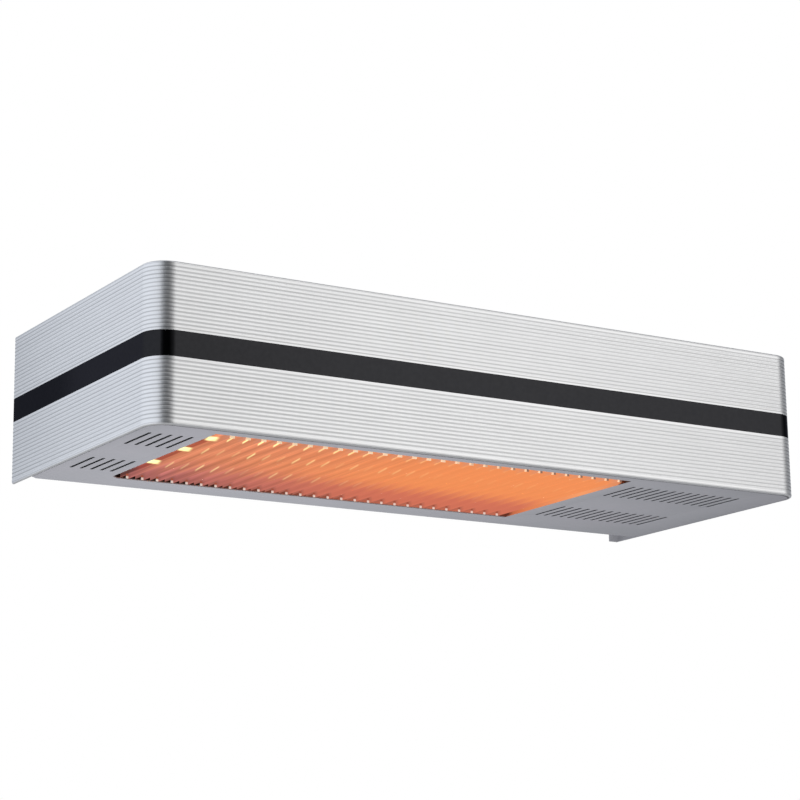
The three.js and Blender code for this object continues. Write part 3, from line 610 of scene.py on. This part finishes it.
def loop_mesh(name, *loops):
    """Closed loops of (x, y) points as edges only."""
    vertices = []
    edges = []
    for loop in loops:
        first = len(vertices)
        vertices += [(x, y, 0) for x, y in loop]
        edges += [(first + i, first + (i + 1) % len(loop)) for i in range(len(loop))]
    return new_mesh(name, vertices, edges)


BOX_FACES = [(0, 3, 2, 1), (4, 5, 6, 7), (0, 1, 5, 4), (1, 2, 6, 5), (2, 3, 7, 6), (3, 0, 4, 7)]


def add_box(vertices, faces, x0, x1, y0, y1, z0, z1):
    first = len(vertices)
    vertices += [(x, y, z) for z in (z0, z1) for x, y in ((x0, y0), (x1, y0), (x1, y1), (x0, y1))]
    faces += [tuple(first + i for i in face) for face in BOX_FACES]


def smooth_faces(piece, angle=40):
    """Merges doubles, turns faces outwards and shades smooth except across folds sharper than angle."""
    shape = bmesh.new()
    shape.from_mesh(piece.data)
    bmesh.ops.remove_doubles(shape, verts=shape.verts, dist=0.002 * MM)
    bmesh.ops.recalc_face_normals(shape, faces=shape.faces)
    for face in shape.faces:
        face.smooth = True
    limit = math.radians(angle)
    for edge in shape.edges:
        if len(edge.link_faces) == 2:
            edge.smooth = edge.calc_face_angle(0.0) < limit
    shape.to_mesh(piece.data)
    shape.free()


def to_heater(piece, slot, *nodes):
    """Hides the nodes that the piece stands for, and lets it ride on the heater; the slot is not used."""
    if nodes:
        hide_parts(*nodes)
    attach(piece, BODY)


def arc(u, v, radius, start, end, steps):
    return [(u + radius * math.cos(start + (end - start) * i / steps),
             v + radius * math.sin(start + (end - start) * i / steps)) for i in range(steps + 1)]


# ---- Geometry Nodes helpers

def start_tree(name, sizes):
    """A Geometry Nodes tree with a geometry input and named inputs; returns it and its input sockets."""
    tree = bpy.data.node_groups.new(name, "GeometryNodeTree")
    tree.interface.new_socket("Geometry", in_out="INPUT", socket_type="NodeSocketGeometry")
    for label, kind in sizes.items():
        tree.interface.new_socket(label, in_out="INPUT", socket_type="NodeSocket" + kind)
    tree.interface.new_socket("Geometry", in_out="OUTPUT", socket_type="NodeSocketGeometry")
    return tree, add(tree, "NodeGroupInput").outputs


def end_tree(tree, geometry):
    add(tree, "NodeGroupOutput", {0: geometry})
    return tree


def vector(tree, x=0.0, y=0.0, z=0.0):
    return add(tree, "ShaderNodeCombineXYZ", {0: x, 1: y, 2: z}).outputs[0]


def join(tree, *parts):
    node = add(tree, "GeometryNodeJoinGeometry")
    for part in reversed(parts):
        tree.links.new(part, node.inputs[0])
    return node.outputs[0]


def position(tree):
    place = add(tree, "GeometryNodeInputPosition").outputs[0]
    return add(tree, "ShaderNodeSeparateXYZ", {0: place}).outputs


def realised(tree, geometry):
    return add(tree, "GeometryNodeRealizeInstances", {0: geometry}).outputs[0]


def dress(tree, geometry, finish, where=True):
    """Gives the faces picked by where the material of a Material input."""
    return add(tree, "GeometryNodeSetMaterial", {
        0: geometry, "Selection": where, "Material": finish}).outputs[0]


def bake(piece, modifier):
    """Works a modifier into the piece's mesh."""
    bpy.context.view_layer.update()
    baked = bpy.data.meshes.new_from_object(piece.evaluated_get(bpy.context.evaluated_depsgraph_get()))
    piece.modifiers.remove(modifier)
    piece.data = baked


def grow(name, mesh, tree, values, angle=40):
    """Runs a tree on a mesh and keeps the result as a plain mesh piece; lengths are given in
    millimetres."""
    piece = new_object(name, mesh)
    modifier = piece.modifiers.new("nodes", "NODES")
    modifier.node_group = tree
    for item in tree.interface.items_tree:
        if item.in_out == "INPUT" and item.name in values:
            value = values[item.name]
            modifier[item.identifier] = value * MM if item.socket_type == "NodeSocketFloat" else value
    bake(piece, modifier)
    piece.data.name = name
    smooth_faces(piece, angle)
    return piece


HELPERS = []


def helper(name, mesh):
    """An object that a tree copies; it is removed when the scene is built."""
    piece = new_object(name, mesh)
    HELPERS.append(piece)
    return piece


# ---- Casing band, ledges and strip: sections run round the left end, front and right end

OUTER_FACE_REACH = 0.02
INNER_FACE_REACH = 0.4


def casing_run_tree():
    """Runs a closed section (X inwards, Y upwards) round the casing, after pressing the rib
    grooves into the
    part of the section that is its outer face."""
    tree, sizes = start_tree("run_round_casing", {
        "Half Length": "Float", "Depth": "Float", "Corner Radius": "Float", "Corner Steps": "Int",
        "Rear": "Float", "Strip Rise": "Float", "First Groove": "Float", "Rib Pitch": "Float",
        "Rib Count": "Int", "Groove Width": "Float", "Groove Depth": "Float", "Wall": "Float",
        "Finish": "Material", "Inner Finish": "Material"})
    place = position(tree)
    height = absolute(tree, minus(tree, place["Y"], sizes["Strip Rise"]))
    height = minus(tree, height, sizes["First Groove"])
    rib = math_node(tree, "ROUND", math_node(tree, "DIVIDE", height, sizes["Rib Pitch"]))
    last = minus(tree, sizes["Rib Count"], 1.0)
    rib = math_node(tree, "MAXIMUM", math_node(tree, "MINIMUM", rib, last), 0.0)
    off = minus(tree, height, times(tree, rib, sizes["Rib Pitch"]))
    share = math_node(tree, "DIVIDE", off, sizes["Groove Width"])
    share = math_node(tree, "MAXIMUM", math_node(tree, "MINIMUM", share, 0.5), -0.5)
    wave = math_node(tree, "COSINE", times(tree, share, 2 * math.pi))
    press = times(tree, linear(tree, wave, 0.5, 0.5), sizes["Groove Depth"])
    press = times(tree, press, math_node(tree, "LESS_THAN", place["X"], OUTER_FACE_REACH * MM))
    is_inner = math_node(tree, "GREATER_THAN", place["X"], minus(tree, sizes["Wall"], INNER_FACE_REACH * MM))
    section = add(tree, "GeometryNodeStoreNamedAttribute", {
        "Geometry": sizes["Geometry"], "Name": "is_inner", "Value": is_inner},
        data_type="BOOLEAN", domain="POINT")
    section = add(tree, "GeometryNodeSetPosition", {
        "Geometry": section.outputs[0], "Offset": vector(tree, press)})
    section = add(tree, "GeometryNodeMeshToCurve", {0: section.outputs[0]})

    left = times(tree, sizes["Half Length"], -1.0)
    front = times(tree, sizes["Depth"], -1.0)
    path = add(tree, "GeometryNodeCurvePrimitiveQuadrilateral", {
        "Point 1": vector(tree, sizes["Half Length"], sizes["Rear"]),
        "Point 2": vector(tree, sizes["Half Length"], front),
        "Point 3": vector(tree, left, front),
        "Point 4": vector(tree, left, sizes["Rear"])}, mode="POINTS")
    corner = math_node(tree, "COMPARE", add(tree, "GeometryNodeInputIndex").outputs[0], 1.5, 0.6)
    path = add(tree, "GeometryNodeFilletCurve", {
        "Curve": path.outputs[0], "Count": sizes["Corner Steps"],
        "Radius": times(tree, corner, sizes["Corner Radius"])}, mode="POLY")
    path = add(tree, "GeometryNodeSetSplineCyclic", {0: path.outputs[0], 2: False})
    path = add(tree, "GeometryNodeSetCurveNormal", {0: path.outputs[0]}, mode="Z_UP")
    run = add(tree, "GeometryNodeCurveToMesh", {
        0: path.outputs[0], 1: section.outputs[0], "Fill Caps": True})
    dressed = dress(tree, realised(tree, run.outputs[0]), sizes["Finish"])
    inner = add(tree, "GeometryNodeInputNamedAttribute", {0: "is_inner"}, data_type="BOOLEAN")
    return end_tree(tree, dress(tree, dressed, sizes["Inner Finish"], inner.outputs[0]))


CASING_RUN = casing_run_tree()


def raised(points):
    """A section's points, lifted with the strip's middle."""
    return [(depth, height + STRIP_RISE) for depth, height in points]


def mirrored(points):
    """A section's points turned over to the lower half, in reverse so that the loop goes on."""
    return [(depth, -height) for depth, height in reversed(points)]


def run_round(name, section, finish, rear=0.0, groove_depth=0.0, inner_finish=None):
    return grow(name, loop_mesh(name + "_section", section), CASING_RUN, {
        "Half Length": HALF_LENGTH, "Depth": DEPTH, "Corner Radius": CORNER_RADIUS,
        "Corner Steps": CORNER_STEPS, "Rear": rear, "Strip Rise": STRIP_RISE,
        "First Groove": HALF_STRIP + RIB_START, "Rib Pitch": RIB_PITCH, "Rib Count": RIB_COUNT,
        "Groove Width": GROOVE_WIDTH, "Groove Depth": groove_depth, "Wall": BAND_WALL,
        "Finish": finish, "Inner Finish": inner_finish or finish})


def make_band():
    channel = HALF_STRIP + SEAT_GAP / 2
    floor = STRIP_THICKNESS + SEAT_GAP
    edge = HALF_HEIGHT - EDGE_RADIUS
    step = RIB_PITCH / GROOVE_SAMPLES
    first = HALF_STRIP + RIB_START - RIB_PITCH / 2
    face = [(0.0, first + i * step) for i in range(RIB_COUNT * GROOVE_SAMPLES + 1)]
    field = [(floor, channel), (CHANNEL_EDGE, channel), (0.0, channel + CHANNEL_EDGE), *face]
    rim = [*arc(EDGE_RADIUS, edge, EDGE_RADIUS, math.pi, 0.5 * math.pi, 6),
           (BAND_WALL - INNER_EDGE, HALF_HEIGHT), (BAND_WALL, HALF_HEIGHT - INNER_EDGE)]
    section = mirrored(rim) + raised(mirrored(field) + field) + rim
    band = run_round("casing_band_ribbed", section, MATERIALS["anodised_band"],
                     groove_depth=GROOVE_DEPTH, inner_finish=MATERIALS["silver_paint"])
    to_heater(band, "anodised_band", "casing_band")


def make_band_ledges():
    """Ledges under the cover and over the plate, and the rib behind the strip's channel."""
    ledge = COVER_UNDER - SEAT_GAP
    rear = PANEL_FRONT - SEAT_GAP
    root = BAND_WALL - 0.2
    tip = BAND_WALL + LEDGE_REACH
    half = HALF_STRIP + BACKING_MARGIN
    deep = BAND_WALL + BACKING_DEPTH
    sections = {
        "casing_ledge_upper": [(root, ledge - LEDGE_THICKNESS), (root, ledge), (tip, ledge),
                               (tip, ledge - LEDGE_THICKNESS)],
        "casing_ledge_lower": [(root, -ledge), (root, -ledge + LEDGE_THICKNESS),
                               (tip, -ledge + LEDGE_THICKNESS), (tip, -ledge)],
        "casing_strip_backing": raised([(root, -half), (root, half), (deep, half - BACKING_DEPTH),
                                        (deep, -half + BACKING_DEPTH)]),
    }
    for name, section in sections.items():
        to_heater(run_round(name, section, MILL_ALUMINIUM, rear), "anodised_band")


def make_end_lip():
    """A small return at the lower end of the band's right end, slanting down to the wall."""
    right = HALF_LENGTH - BAND_WALL + 0.1
    left = right - END_LIP_REACH
    foot = -HALF_HEIGHT + 0.3
    side = [(0, foot), (-END_LIP_THICKNESS, foot), (-END_LIP_THICKNESS - END_LIP_RISE, foot + END_LIP_RISE),
            (0, foot + END_LIP_RISE)]
    vertices = [(x, y, z) for x in (left, right) for y, z in side]
    faces = [(0, 1, 2, 3), (7, 6, 5, 4), (0, 4, 5, 1), (1, 5, 6, 2), (2, 6, 7, 3), (3, 7, 4, 0)]
    lip = new_object("casing_end_lip", new_mesh("casing_end_lip", vertices, (), faces))
    lip.data.materials.append(MATERIALS["silver_paint"])
    smooth_faces(lip, 20)
    to_heater(lip, "silver_paint")


def make_strip():
    section = [(STRIP_EDGE, -HALF_STRIP), (0.03, -HALF_STRIP + STRIP_EDGE), (0.03, HALF_STRIP - STRIP_EDGE),
               (STRIP_EDGE, HALF_STRIP), (STRIP_THICKNESS, HALF_STRIP), (STRIP_THICKNESS, -HALF_STRIP)]
    strip = run_round("centre_strip_inlay", raised(section), MATERIALS["black_inlay"])
    to_heater(strip, "black_inlay", "centre_strip")


# ---- Bottom plate and top cover: sheets cut with rows of vents, and the window

def vented_sheet_tree():
    """A flat sheet from its outline and holes, cut with round-ended vents in two groups and a few rows."""
    tree, sizes = start_tree("vented_sheet", {
        "Vent Width": "Float", "Vent Length": "Float", "Vent Pitch": "Float", "Left Start": "Float",
        "Left Count": "Int", "Right Start": "Float", "Right Count": "Int", "First Row": "Float",
        "Row Pitch": "Float", "Rows": "Int", "Level": "Float", "Sheet": "Float", "Cut Limit": "Float",
        "Window Front": "Float", "Window Rear": "Float", "Finish": "Material", "Cut Finish": "Material",
        "Window Finish": "Material"})
    vent = add(tree, "GeometryNodeCurvePrimitiveQuadrilateral", {
        "Width": sizes["Vent Width"], "Height": sizes["Vent Length"]}, mode="RECTANGLE")
    vent = add(tree, "GeometryNodeFilletCurve", {
        "Curve": vent.outputs[0], "Count": 5, "Limit Radius": True,
        "Radius": times(tree, sizes["Vent Width"], 0.5)}, mode="POLY")
    rows = add(tree, "GeometryNodeMeshLine", {
        "Count": sizes["Rows"], "Start Location": vector(tree, 0.0, sizes["First Row"]),
        "Offset": vector(tree, 0.0, sizes["Row Pitch"])})
    column = add(tree, "GeometryNodeInstanceOnPoints", {
        "Points": rows.outputs[0], "Instance": vent.outputs[0]})
    left = add(tree, "GeometryNodeMeshLine", {
        "Count": sizes["Left Count"], "Start Location": vector(tree, sizes["Left Start"]),
        "Offset": vector(tree, times(tree, sizes["Vent Pitch"], -1.0))})
    right = add(tree, "GeometryNodeMeshLine", {
        "Count": sizes["Right Count"], "Start Location": vector(tree, sizes["Right Start"]),
        "Offset": vector(tree, sizes["Vent Pitch"])})
    places = join(tree, left.outputs[0], right.outputs[0])
    vents = add(tree, "GeometryNodeInstanceOnPoints", {"Points": places, "Instance": column.outputs[0]})
    outline = add(tree, "GeometryNodeMeshToCurve", {0: sizes["Geometry"]})
    filled = add(tree, "GeometryNodeFillCurve", {
        0: join(tree, outline.outputs[0], realised(tree, vents.outputs[0]))}, mode="TRIANGLES")
    flat = add(tree, "GeometryNodeSetPosition", {
        "Geometry": filled.outputs[0], "Offset": vector(tree, 0.0, 0.0, sizes["Level"])})
    thick = add(tree, "GeometryNodeExtrudeMesh", {
        "Mesh": flat.outputs[0], "Offset": vector(tree, 0.0, 0.0, 1.0), "Offset Scale": sizes["Sheet"],
        "Individual": False}, mode="FACES")
    under = add(tree, "GeometryNodeFlipFaces", {0: flat.outputs[0]})
    whole = add(tree, "GeometryNodeMergeByDistance", {
        0: join(tree, thick.outputs[0], under.outputs[0]), "Distance": 0.001 * MM})
    dressed = dress(tree, realised(tree, whole.outputs[0]), sizes["Finish"])
    place = position(tree)
    right_of = math_node(tree, "GREATER_THAN", place["X"], minus(
        tree, sizes["Right Start"], sizes["Vent Width"]))
    left_of = math_node(tree, "LESS_THAN", place["X"], math_node(
        tree, "ADD", sizes["Left Start"], sizes["Vent Width"]))
    by_vents = math_node(tree, "ADD", right_of, left_of)
    inside = math_node(tree, "LESS_THAN", absolute(tree, place["X"]), sizes["Cut Limit"])
    # The vents' cut walls get the cut finish, which paints them dark as shade.
    cut = times(tree, times(tree, by_vents, inside), thick.outputs["Side"])
    dressed = dress(tree, dressed, sizes["Cut Finish"], cut)
    # The window's walls on its right half get the window finish: the bulkheads' painted glow of the lamps'
    # light.
    behind_front = math_node(tree, "GREATER_THAN", place["Y"], sizes["Window Front"])
    before_rear = math_node(tree, "LESS_THAN", place["Y"], sizes["Window Rear"])
    window = times(tree, times(tree, behind_front, before_rear), minus(tree, 1.0, by_vents))
    window = times(tree, window, math_node(tree, "GREATER_THAN", place["X"], 0.0))
    window = times(tree, window, thick.outputs["Side"])
    return end_tree(tree, dress(tree, dressed, sizes["Window Finish"], window))


def plate_outline():
    cx = PLATE_HALF - PLATE_CORNER
    cy = PLATE_FRONT + PLATE_CORNER
    return [(-PLATE_HALF + PLATE_CORNER_CUT, PLATE_REAR), (-PLATE_HALF, PLATE_REAR - PLATE_CORNER_CUT),
            *arc(-cx, cy, PLATE_CORNER, math.pi, 1.5 * math.pi, CORNER_STEPS),
            *arc(cx, cy, PLATE_CORNER, 1.5 * math.pi, 2 * math.pi, CORNER_STEPS),
            (PLATE_HALF, PLATE_REAR - PLATE_CORNER_CUT), (PLATE_HALF - PLATE_CORNER_CUT, PLATE_REAR)]


def soften_edges(piece, width):
    """A small bevel on the sheet's cut edges, worked into the mesh."""
    bevel = piece.modifiers.new("soft_edge", "BEVEL")
    bevel.width = width * MM
    bevel.segments = 2
    bevel.limit_method = "ANGLE"
    bevel.angle_limit = math.radians(50)
    bake(piece, bevel)
    smooth_faces(piece, 30)


def make_sheets():
    tree = vented_sheet_tree()
    window = [(WINDOW_LEFT, WINDOW_FRONT), (WINDOW_RIGHT, WINDOW_FRONT), (WINDOW_RIGHT, WINDOW_REAR),
              (WINDOW_LEFT + WINDOW_CORNER_CUT, WINDOW_REAR), (WINDOW_LEFT, WINDOW_REAR - WINDOW_CORNER_CUT)]
    common = {
        "Vent Width": VENT_WIDTH, "Vent Length": VENT_LENGTH, "Vent Pitch": VENT_PITCH,
        "Left Start": VENT_LEFT_START, "Left Count": VENT_LEFT_COUNT,
        "Right Start": VENT_RIGHT_START, "Right Count": VENT_RIGHT_COUNT,
        "Row Pitch": VENT_REAR_Y - VENT_FRONT_Y, "Sheet": SHEET, "Cut Limit": PLATE_HALF - VENT_PITCH,
        "Window Front": WINDOW_FRONT + 1, "Window Rear": WINDOW_REAR - 1,
        "Finish": MATERIALS["silver_paint"], "Cut Finish": SHADED_CUT_EDGE, "Window Finish": BULKHEAD_STEEL}
    plate = grow("bottom_plate_sheet", loop_mesh("plate_loops", plate_outline(), window), tree, {
        **common, "First Row": VENT_FRONT_Y, "Rows": 2, "Level": PLATE_UNDER})
    cover = grow("top_cover_sheet", loop_mesh("cover_loop", plate_outline()), tree, {
        **common, "First Row": VENT_REAR_Y, "Rows": 1, "Level": COVER_UNDER})
    for piece, node in ((plate, "bottom_plate"), (cover, "top_cover")):
        soften_edges(piece, SHEET_EDGE)
        to_heater(piece, "silver_paint", node)


def make_vent_shade_cloths():
    """Black cloth over the inside of each group of vents, and under those of the cover, standing in for the
    shade inside.
    """
    reach = VENT_LENGTH / 2 + 4
    margin = VENT_WIDTH / 2 + 2.5
    left = (VENT_LEFT_START - (VENT_LEFT_COUNT - 1) * VENT_PITCH - margin, VENT_LEFT_START + margin)
    right = (VENT_RIGHT_START - margin, VENT_RIGHT_START + (VENT_RIGHT_COUNT - 1) * VENT_PITCH + margin)
    vertices = []
    faces = []
    floor = PLATE_UNDER + SHEET + 0.05
    roof = COVER_UNDER - 0.05 - MESH_THICKNESS
    for x0, x1 in (left, right):
        for y, z in ((VENT_FRONT_Y, floor), (VENT_REAR_Y, floor), (VENT_REAR_Y, roof)):
            add_box(vertices, faces, x0, x1, y - reach, y + reach, z, z + MESH_THICKNESS)
    piece = new_object("vent_dust_mesh", new_mesh("vent_dust_mesh", vertices, (), faces))
    piece.data.materials.append(VENT_SHADE_CLOTH)
    smooth_faces(piece, 20)
    to_heater(piece, "black_nylon")


# ---- Guard: one blade, repeated along the window

def blade_row_tree():
    """Repeats the blade of the input along X; faces of its bent tabs get their own finish."""
    tree, sizes = start_tree("blade_row", {
        "Count": "Int", "First": "Float", "Pitch": "Float", "Finish": "Material", "Tab Finish": "Material"})
    places = add(tree, "GeometryNodeMeshLine", {
        "Count": sizes["Count"], "Start Location": vector(tree, sizes["First"]),
        "Offset": vector(tree, sizes["Pitch"])})
    row = add(tree, "GeometryNodeInstanceOnPoints", {
        "Points": places.outputs[0], "Instance": sizes["Geometry"]})
    dressed = dress(tree, realised(tree, row.outputs[0]), sizes["Finish"])
    tabs = add(tree, "GeometryNodeInputNamedAttribute", {0: "is_tab"}, data_type="BOOLEAN")
    return end_tree(tree, dress(tree, dressed, sizes["Tab Finish"], tabs.outputs[0]))


def blade_mesh():
    """One blade about X = 0: a strip with a lug at each end that steps up over the plate, and a
    tab bent out
    at each end, to the right in front and to the left at the rear."""
    half = BLADE_THICKNESS / 2
    lug = BLADE_UNDER + BLADE_STEP
    top = BLADE_TOP + BLADE_EXTRA
    side = [(BLADE_FRONT, BLADE_UNDER), (BLADE_REAR, BLADE_UNDER), (BLADE_REAR, lug), (LUG_REAR, lug),
            (LUG_REAR, BLADE_TOP), (LUG_REAR - 2, top), (LUG_FRONT + 2, top), (LUG_FRONT, BLADE_TOP),
            (LUG_FRONT, lug), (BLADE_FRONT, lug)]
    count = len(side)
    vertices = [(x, y, z) for x in (-half, half) for y, z in side]
    faces = [tuple(range(count)), tuple(reversed(range(count, 2 * count)))]
    faces += [(i, i + count, (i + 1) % count + count, (i + 1) % count) for i in range(count)]
    tab_faces = []
    front_tab = (-half, half + BLADE_TAB + FRONT_TAB_EXTRA, BLADE_FRONT, BLADE_UNDER - FRONT_TAB_DROP)
    rear_tab = (-half - BLADE_TAB, -half + 0.05, BLADE_REAR - BLADE_THICKNESS, BLADE_UNDER)
    for x0, x1, y0, z0 in (front_tab, rear_tab):
        add_box(vertices, tab_faces, x0, x1, y0, y0 + BLADE_THICKNESS, z0, lug)
    mesh = new_mesh("guard_blade", vertices, (), faces + tab_faces)
    flags = mesh.attributes.new("is_tab", "BOOLEAN", "FACE")
    for i in range(len(faces), len(faces) + len(tab_faces)):
        flags.data[i].value = True
    return mesh


def make_guard():
    guard = grow("guard_blade_row", blade_mesh(), blade_row_tree(), {
        "Count": BLADE_COUNT, "First": FIRST_BLADE, "Pitch": BLADE_PITCH,
        "Finish": MATERIALS["guard_steel"], "Tab Finish": TAB_STEEL}, 30)
    to_heater(guard, "guard_steel", *[f"guard_blade_{i:02d}" for i in range(1, BLADE_COUNT + 1)])


# ---- Screws in the cover and the rear panel

def screw_tree():
    """Copies a screw head to each point of the input, turned by its own share of a full turn."""
    tree, sizes = start_tree("screw_set", {"Head": "Object", "Seed": "Int", "Finish": "Material"})
    head = add(tree, "GeometryNodeObjectInfo", {"Object": sizes["Head"]}).outputs["Geometry"]
    turn = add(tree, "FunctionNodeRandomValue", {3: math.pi, "Seed": sizes["Seed"]}, data_type="FLOAT")
    placed = add(tree, "GeometryNodeInstanceOnPoints", {
        "Points": sizes["Geometry"], "Instance": head,
        "Rotation": vector(tree, 0.0, 0.0, turn.outputs[1])})
    return end_tree(tree, dress(tree, realised(tree, placed.outputs[0]), sizes["Finish"]))


def screw_head(name, radius, rise, sink):
    """A low domed head with a cross recess, standing on Z = 0 and reaching sink below it."""
    arm = radius * 0.55
    slot = radius * 0.13
    ring = [(radius, -sink), (radius, rise * 0.25), (radius * 0.9, rise * 0.7), (radius * 0.68, rise)]
    sides = 16
    shape = bmesh.new()
    rings = [[shape.verts.new(Vector((r * math.cos(2 * math.pi * (i + 0.5) / sides),
                                      r * math.sin(2 * math.pi * (i + 0.5) / sides), z)) * MM)
              for i in range(sides)] for r, z in ring]
    for low, high in zip(rings, rings[1:]):
        for i in range(sides):
            j = (i + 1) % sides
            shape.faces.new((low[i], low[j], high[j], high[i]))
    shape.faces.new(list(reversed(rings[0])))
    cross = [(slot, slot), (slot, arm), (-slot, arm), (-slot, slot), (-arm, slot), (-arm, -slot),
             (-slot, -slot), (-slot, -arm), (slot, -arm), (slot, -slot), (arm, -slot), (arm, slot)]
    top = [shape.verts.new(Vector((x, y, rise)) * MM) for x, y in cross]
    base = [shape.verts.new(Vector((x * 0.8, y * 0.8, rise - radius * 0.45)) * MM) for x, y in cross]
    for i in range(len(cross)):
        j = (i + 1) % len(cross)
        shape.faces.new((top[i], base[i], base[j], top[j]))
    shape.faces.new(list(reversed(base)))
    rim = [shape.edges.get((rings[-1][i], rings[-1][(i + 1) % sides])) for i in range(sides)]
    rim += [shape.edges.get((top[i], top[(i + 1) % len(top)])) for i in range(len(top))]
    bmesh.ops.triangle_fill(shape, edges=rim, use_beauty=True)
    mesh = bpy.data.meshes.new(name)
    shape.to_mesh(mesh)
    shape.free()
    return mesh


# Places of the screws: X and Y on the cover, X and Z on the rear panel
COVER_SCREWS = [(-250, -294.4), (0, -294.4), (250, -294.4), (-350.6, -190), (350.6, -190), (-350.6, -75),
                (350.6, -75)]
PANEL_SCREWS = [(x, z) for z in (58, -58) for x in (-330, -150, 150, 330)]


def make_screws():
    tree = screw_tree()
    cover_top = COVER_UNDER + SHEET
    low_head = helper("low_screw_head", screw_head("low_screw_head", 2.6, 0.25, 0.6))
    pan_head = helper("pan_screw_head", screw_head("pan_screw_head", 3.4, 1.9, 0.2))
    points = new_mesh("cover_screw_places", [(x, y, cover_top) for x, y in COVER_SCREWS])
    cover = grow("cover_screws", points, tree, {"Head": low_head, "Seed": 4, "Finish": SCREW_ZINC}, 30)
    to_heater(cover, "zinc_sheet")
    points = new_mesh("panel_screw_places", [(x, -z, 0) for x, z in PANEL_SCREWS])
    panel = grow("rear_panel_screws", points, tree, {"Head": pan_head, "Seed": 9, "Finish": SCREW_ZINC}, 30)
    stand = Matrix.Translation((0, PANEL_BACK * MM, 0)) @ Matrix.Rotation(-math.pi / 2, 4, "X")
    panel.data.transform(stand)
    to_heater(panel, "zinc_sheet")


# ---- Studio: world, lights, floor

# The room that metal mirrors, by turn about Z in degrees: 0 is the heater's front, 90 its right
ROOM = [
    (-180, "#959AA2"), (-100, "#9A9FA7"), (-48, "#989CA2"), (-32, "#282A2C"), (-5, "#1E2022"),
    (13, "#808182"), (26, "#ECECEC"), (31, "#FFFFFF"), (43, "#FAFAFA"), (54, "#ACACAE"), (72, "#505256"),
    (120, "#989A9E"), (180, "#959AA2")]


def make_world():
    """White behind the heater; a soft even light for matt surfaces; for metal, a bright room at
    the right and
    front, a cooler one at the left, and a dark gap between them that edges the rounded corner."""
    world = bpy.data.worlds.new("studio")
    bpy.context.scene.world = world
    world.use_nodes = True
    tree = world.node_tree
    tree.nodes.clear()
    way = add(tree, "ShaderNodeTexCoord").outputs["Generated"]
    axes = add(tree, "ShaderNodeSeparateXYZ", {0: way}).outputs
    turn = math_node(tree, "ARCTAN2", axes["X"], times(tree, axes["Y"], -1.0))
    share = between(tree, turn, 0.0, 1.0, -math.pi, math.pi)

    room = ramp(tree, share, [((degrees + 180) / 360, code) for degrees, code in ROOM])
    height = between(tree, axes["Z"], 0.0, 1.0, -1.0, 1.0)
    layers = ramp(tree, height, [
        (0.0, "#8A8C90"), (0.15, "#9A9CA0"), (0.3, "#F6F6F6"), (0.4, "#FFFFFF"),
        (0.85, "#FFFFFF"), (1.0, "#B4B6BA")])
    mirrored = mix(tree, 1.0, room, layers, "MULTIPLY")
    for_metal = add(tree, "ShaderNodeBackground", {"Color": mirrored, "Strength": 1.3})
    for_matt = add(tree, "ShaderNodeBackground", {"Color": srgb("#F4F6FA"), "Strength": 0.8})
    for_eye = add(tree, "ShaderNodeBackground", {"Color": (1, 1, 1, 1), "Strength": 1.0})
    path = add(tree, "ShaderNodeLightPath").outputs
    lit = add(tree, "ShaderNodeMixShader", {
        0: path["Is Glossy Ray"], 1: for_matt.outputs[0], 2: for_metal.outputs[0]})
    seen = math_node(tree, "MAXIMUM", path["Is Camera Ray"], path["Is Transmission Ray"])
    final = add(tree, "ShaderNodeMixShader", {0: seen, 1: lit.outputs[0], 2: for_eye.outputs[0]})
    add(tree, "ShaderNodeOutputWorld", {"Surface": final.outputs[0]})


def aimed_light(name, place, aim, shape, size, power):
    data = bpy.data.lights.new(name, "AREA")
    data.shape = shape
    data.size = size
    data.energy = power
    light = new_object(name, data)
    light.location = place
    light.rotation_euler = (Vector(aim) - Vector(place)).to_track_quat("-Z", "Y").to_euler()
    return light


def make_lights():
    """A lamp under the heater that only matt surfaces see, and a card at its left that only shiny
    ones do."""
    fill = aimed_light("underside_fill", (-0.19, -0.08, -0.86), (-0.19, -0.08, 0.0), "DISK", 0.5, 6.9)
    fill.visible_glossy = False
    card = aimed_light("left_card", (-0.54, -0.11, 0.10), (0.0, -0.11, 0.10), "RECTANGLE", 0.76, 0.9)
    card.data.size_y = 0.9
    card.data.color = srgb("#E9ECF3")[:3]
    card.visible_camera = False
    card.visible_diffuse = False


FLOOR_LEVEL = -1.9
FLOOR_HALF = 6.0


def make_floor():
    mesh = bpy.data.meshes.new("floor")
    corners = [(-1, -1), (1, -1), (1, 1), (-1, 1)]
    mesh.from_pydata([(x * FLOOR_HALF, y * FLOOR_HALF, FLOOR_LEVEL) for x, y in corners], [], [(0, 1, 2, 3)])
    floor = new_object("floor", mesh)
    finish = surface("pale_floor")[1]
    mesh.materials.append(finish({"Color": srgb("#B8B8B8")}, "ShaderNodeBsdfDiffuse"))


# ---- Build

def dress_frame():
    """Gives every CAD node that stays in view its finish."""
    slots = {part["node"]: part["material_slot"] for part in frame["record"]["subparts"]}
    for name, node in frame["nodes"].items():
        node.data.materials.clear()
        node.data.materials.append(NODE_MATERIALS.get(name, MATERIALS[slots[name]]))


make_world()
make_lights()
make_floor()
dress_frame()
make_band()
make_band_ledges()
make_strip()
make_end_lip()
make_sheets()
make_vent_shade_cloths()
make_guard()
make_screws()
for piece in HELPERS:
    bpy.data.objects.remove(piece)

bpy.context.scene.view_settings.view_transform = "Standard"
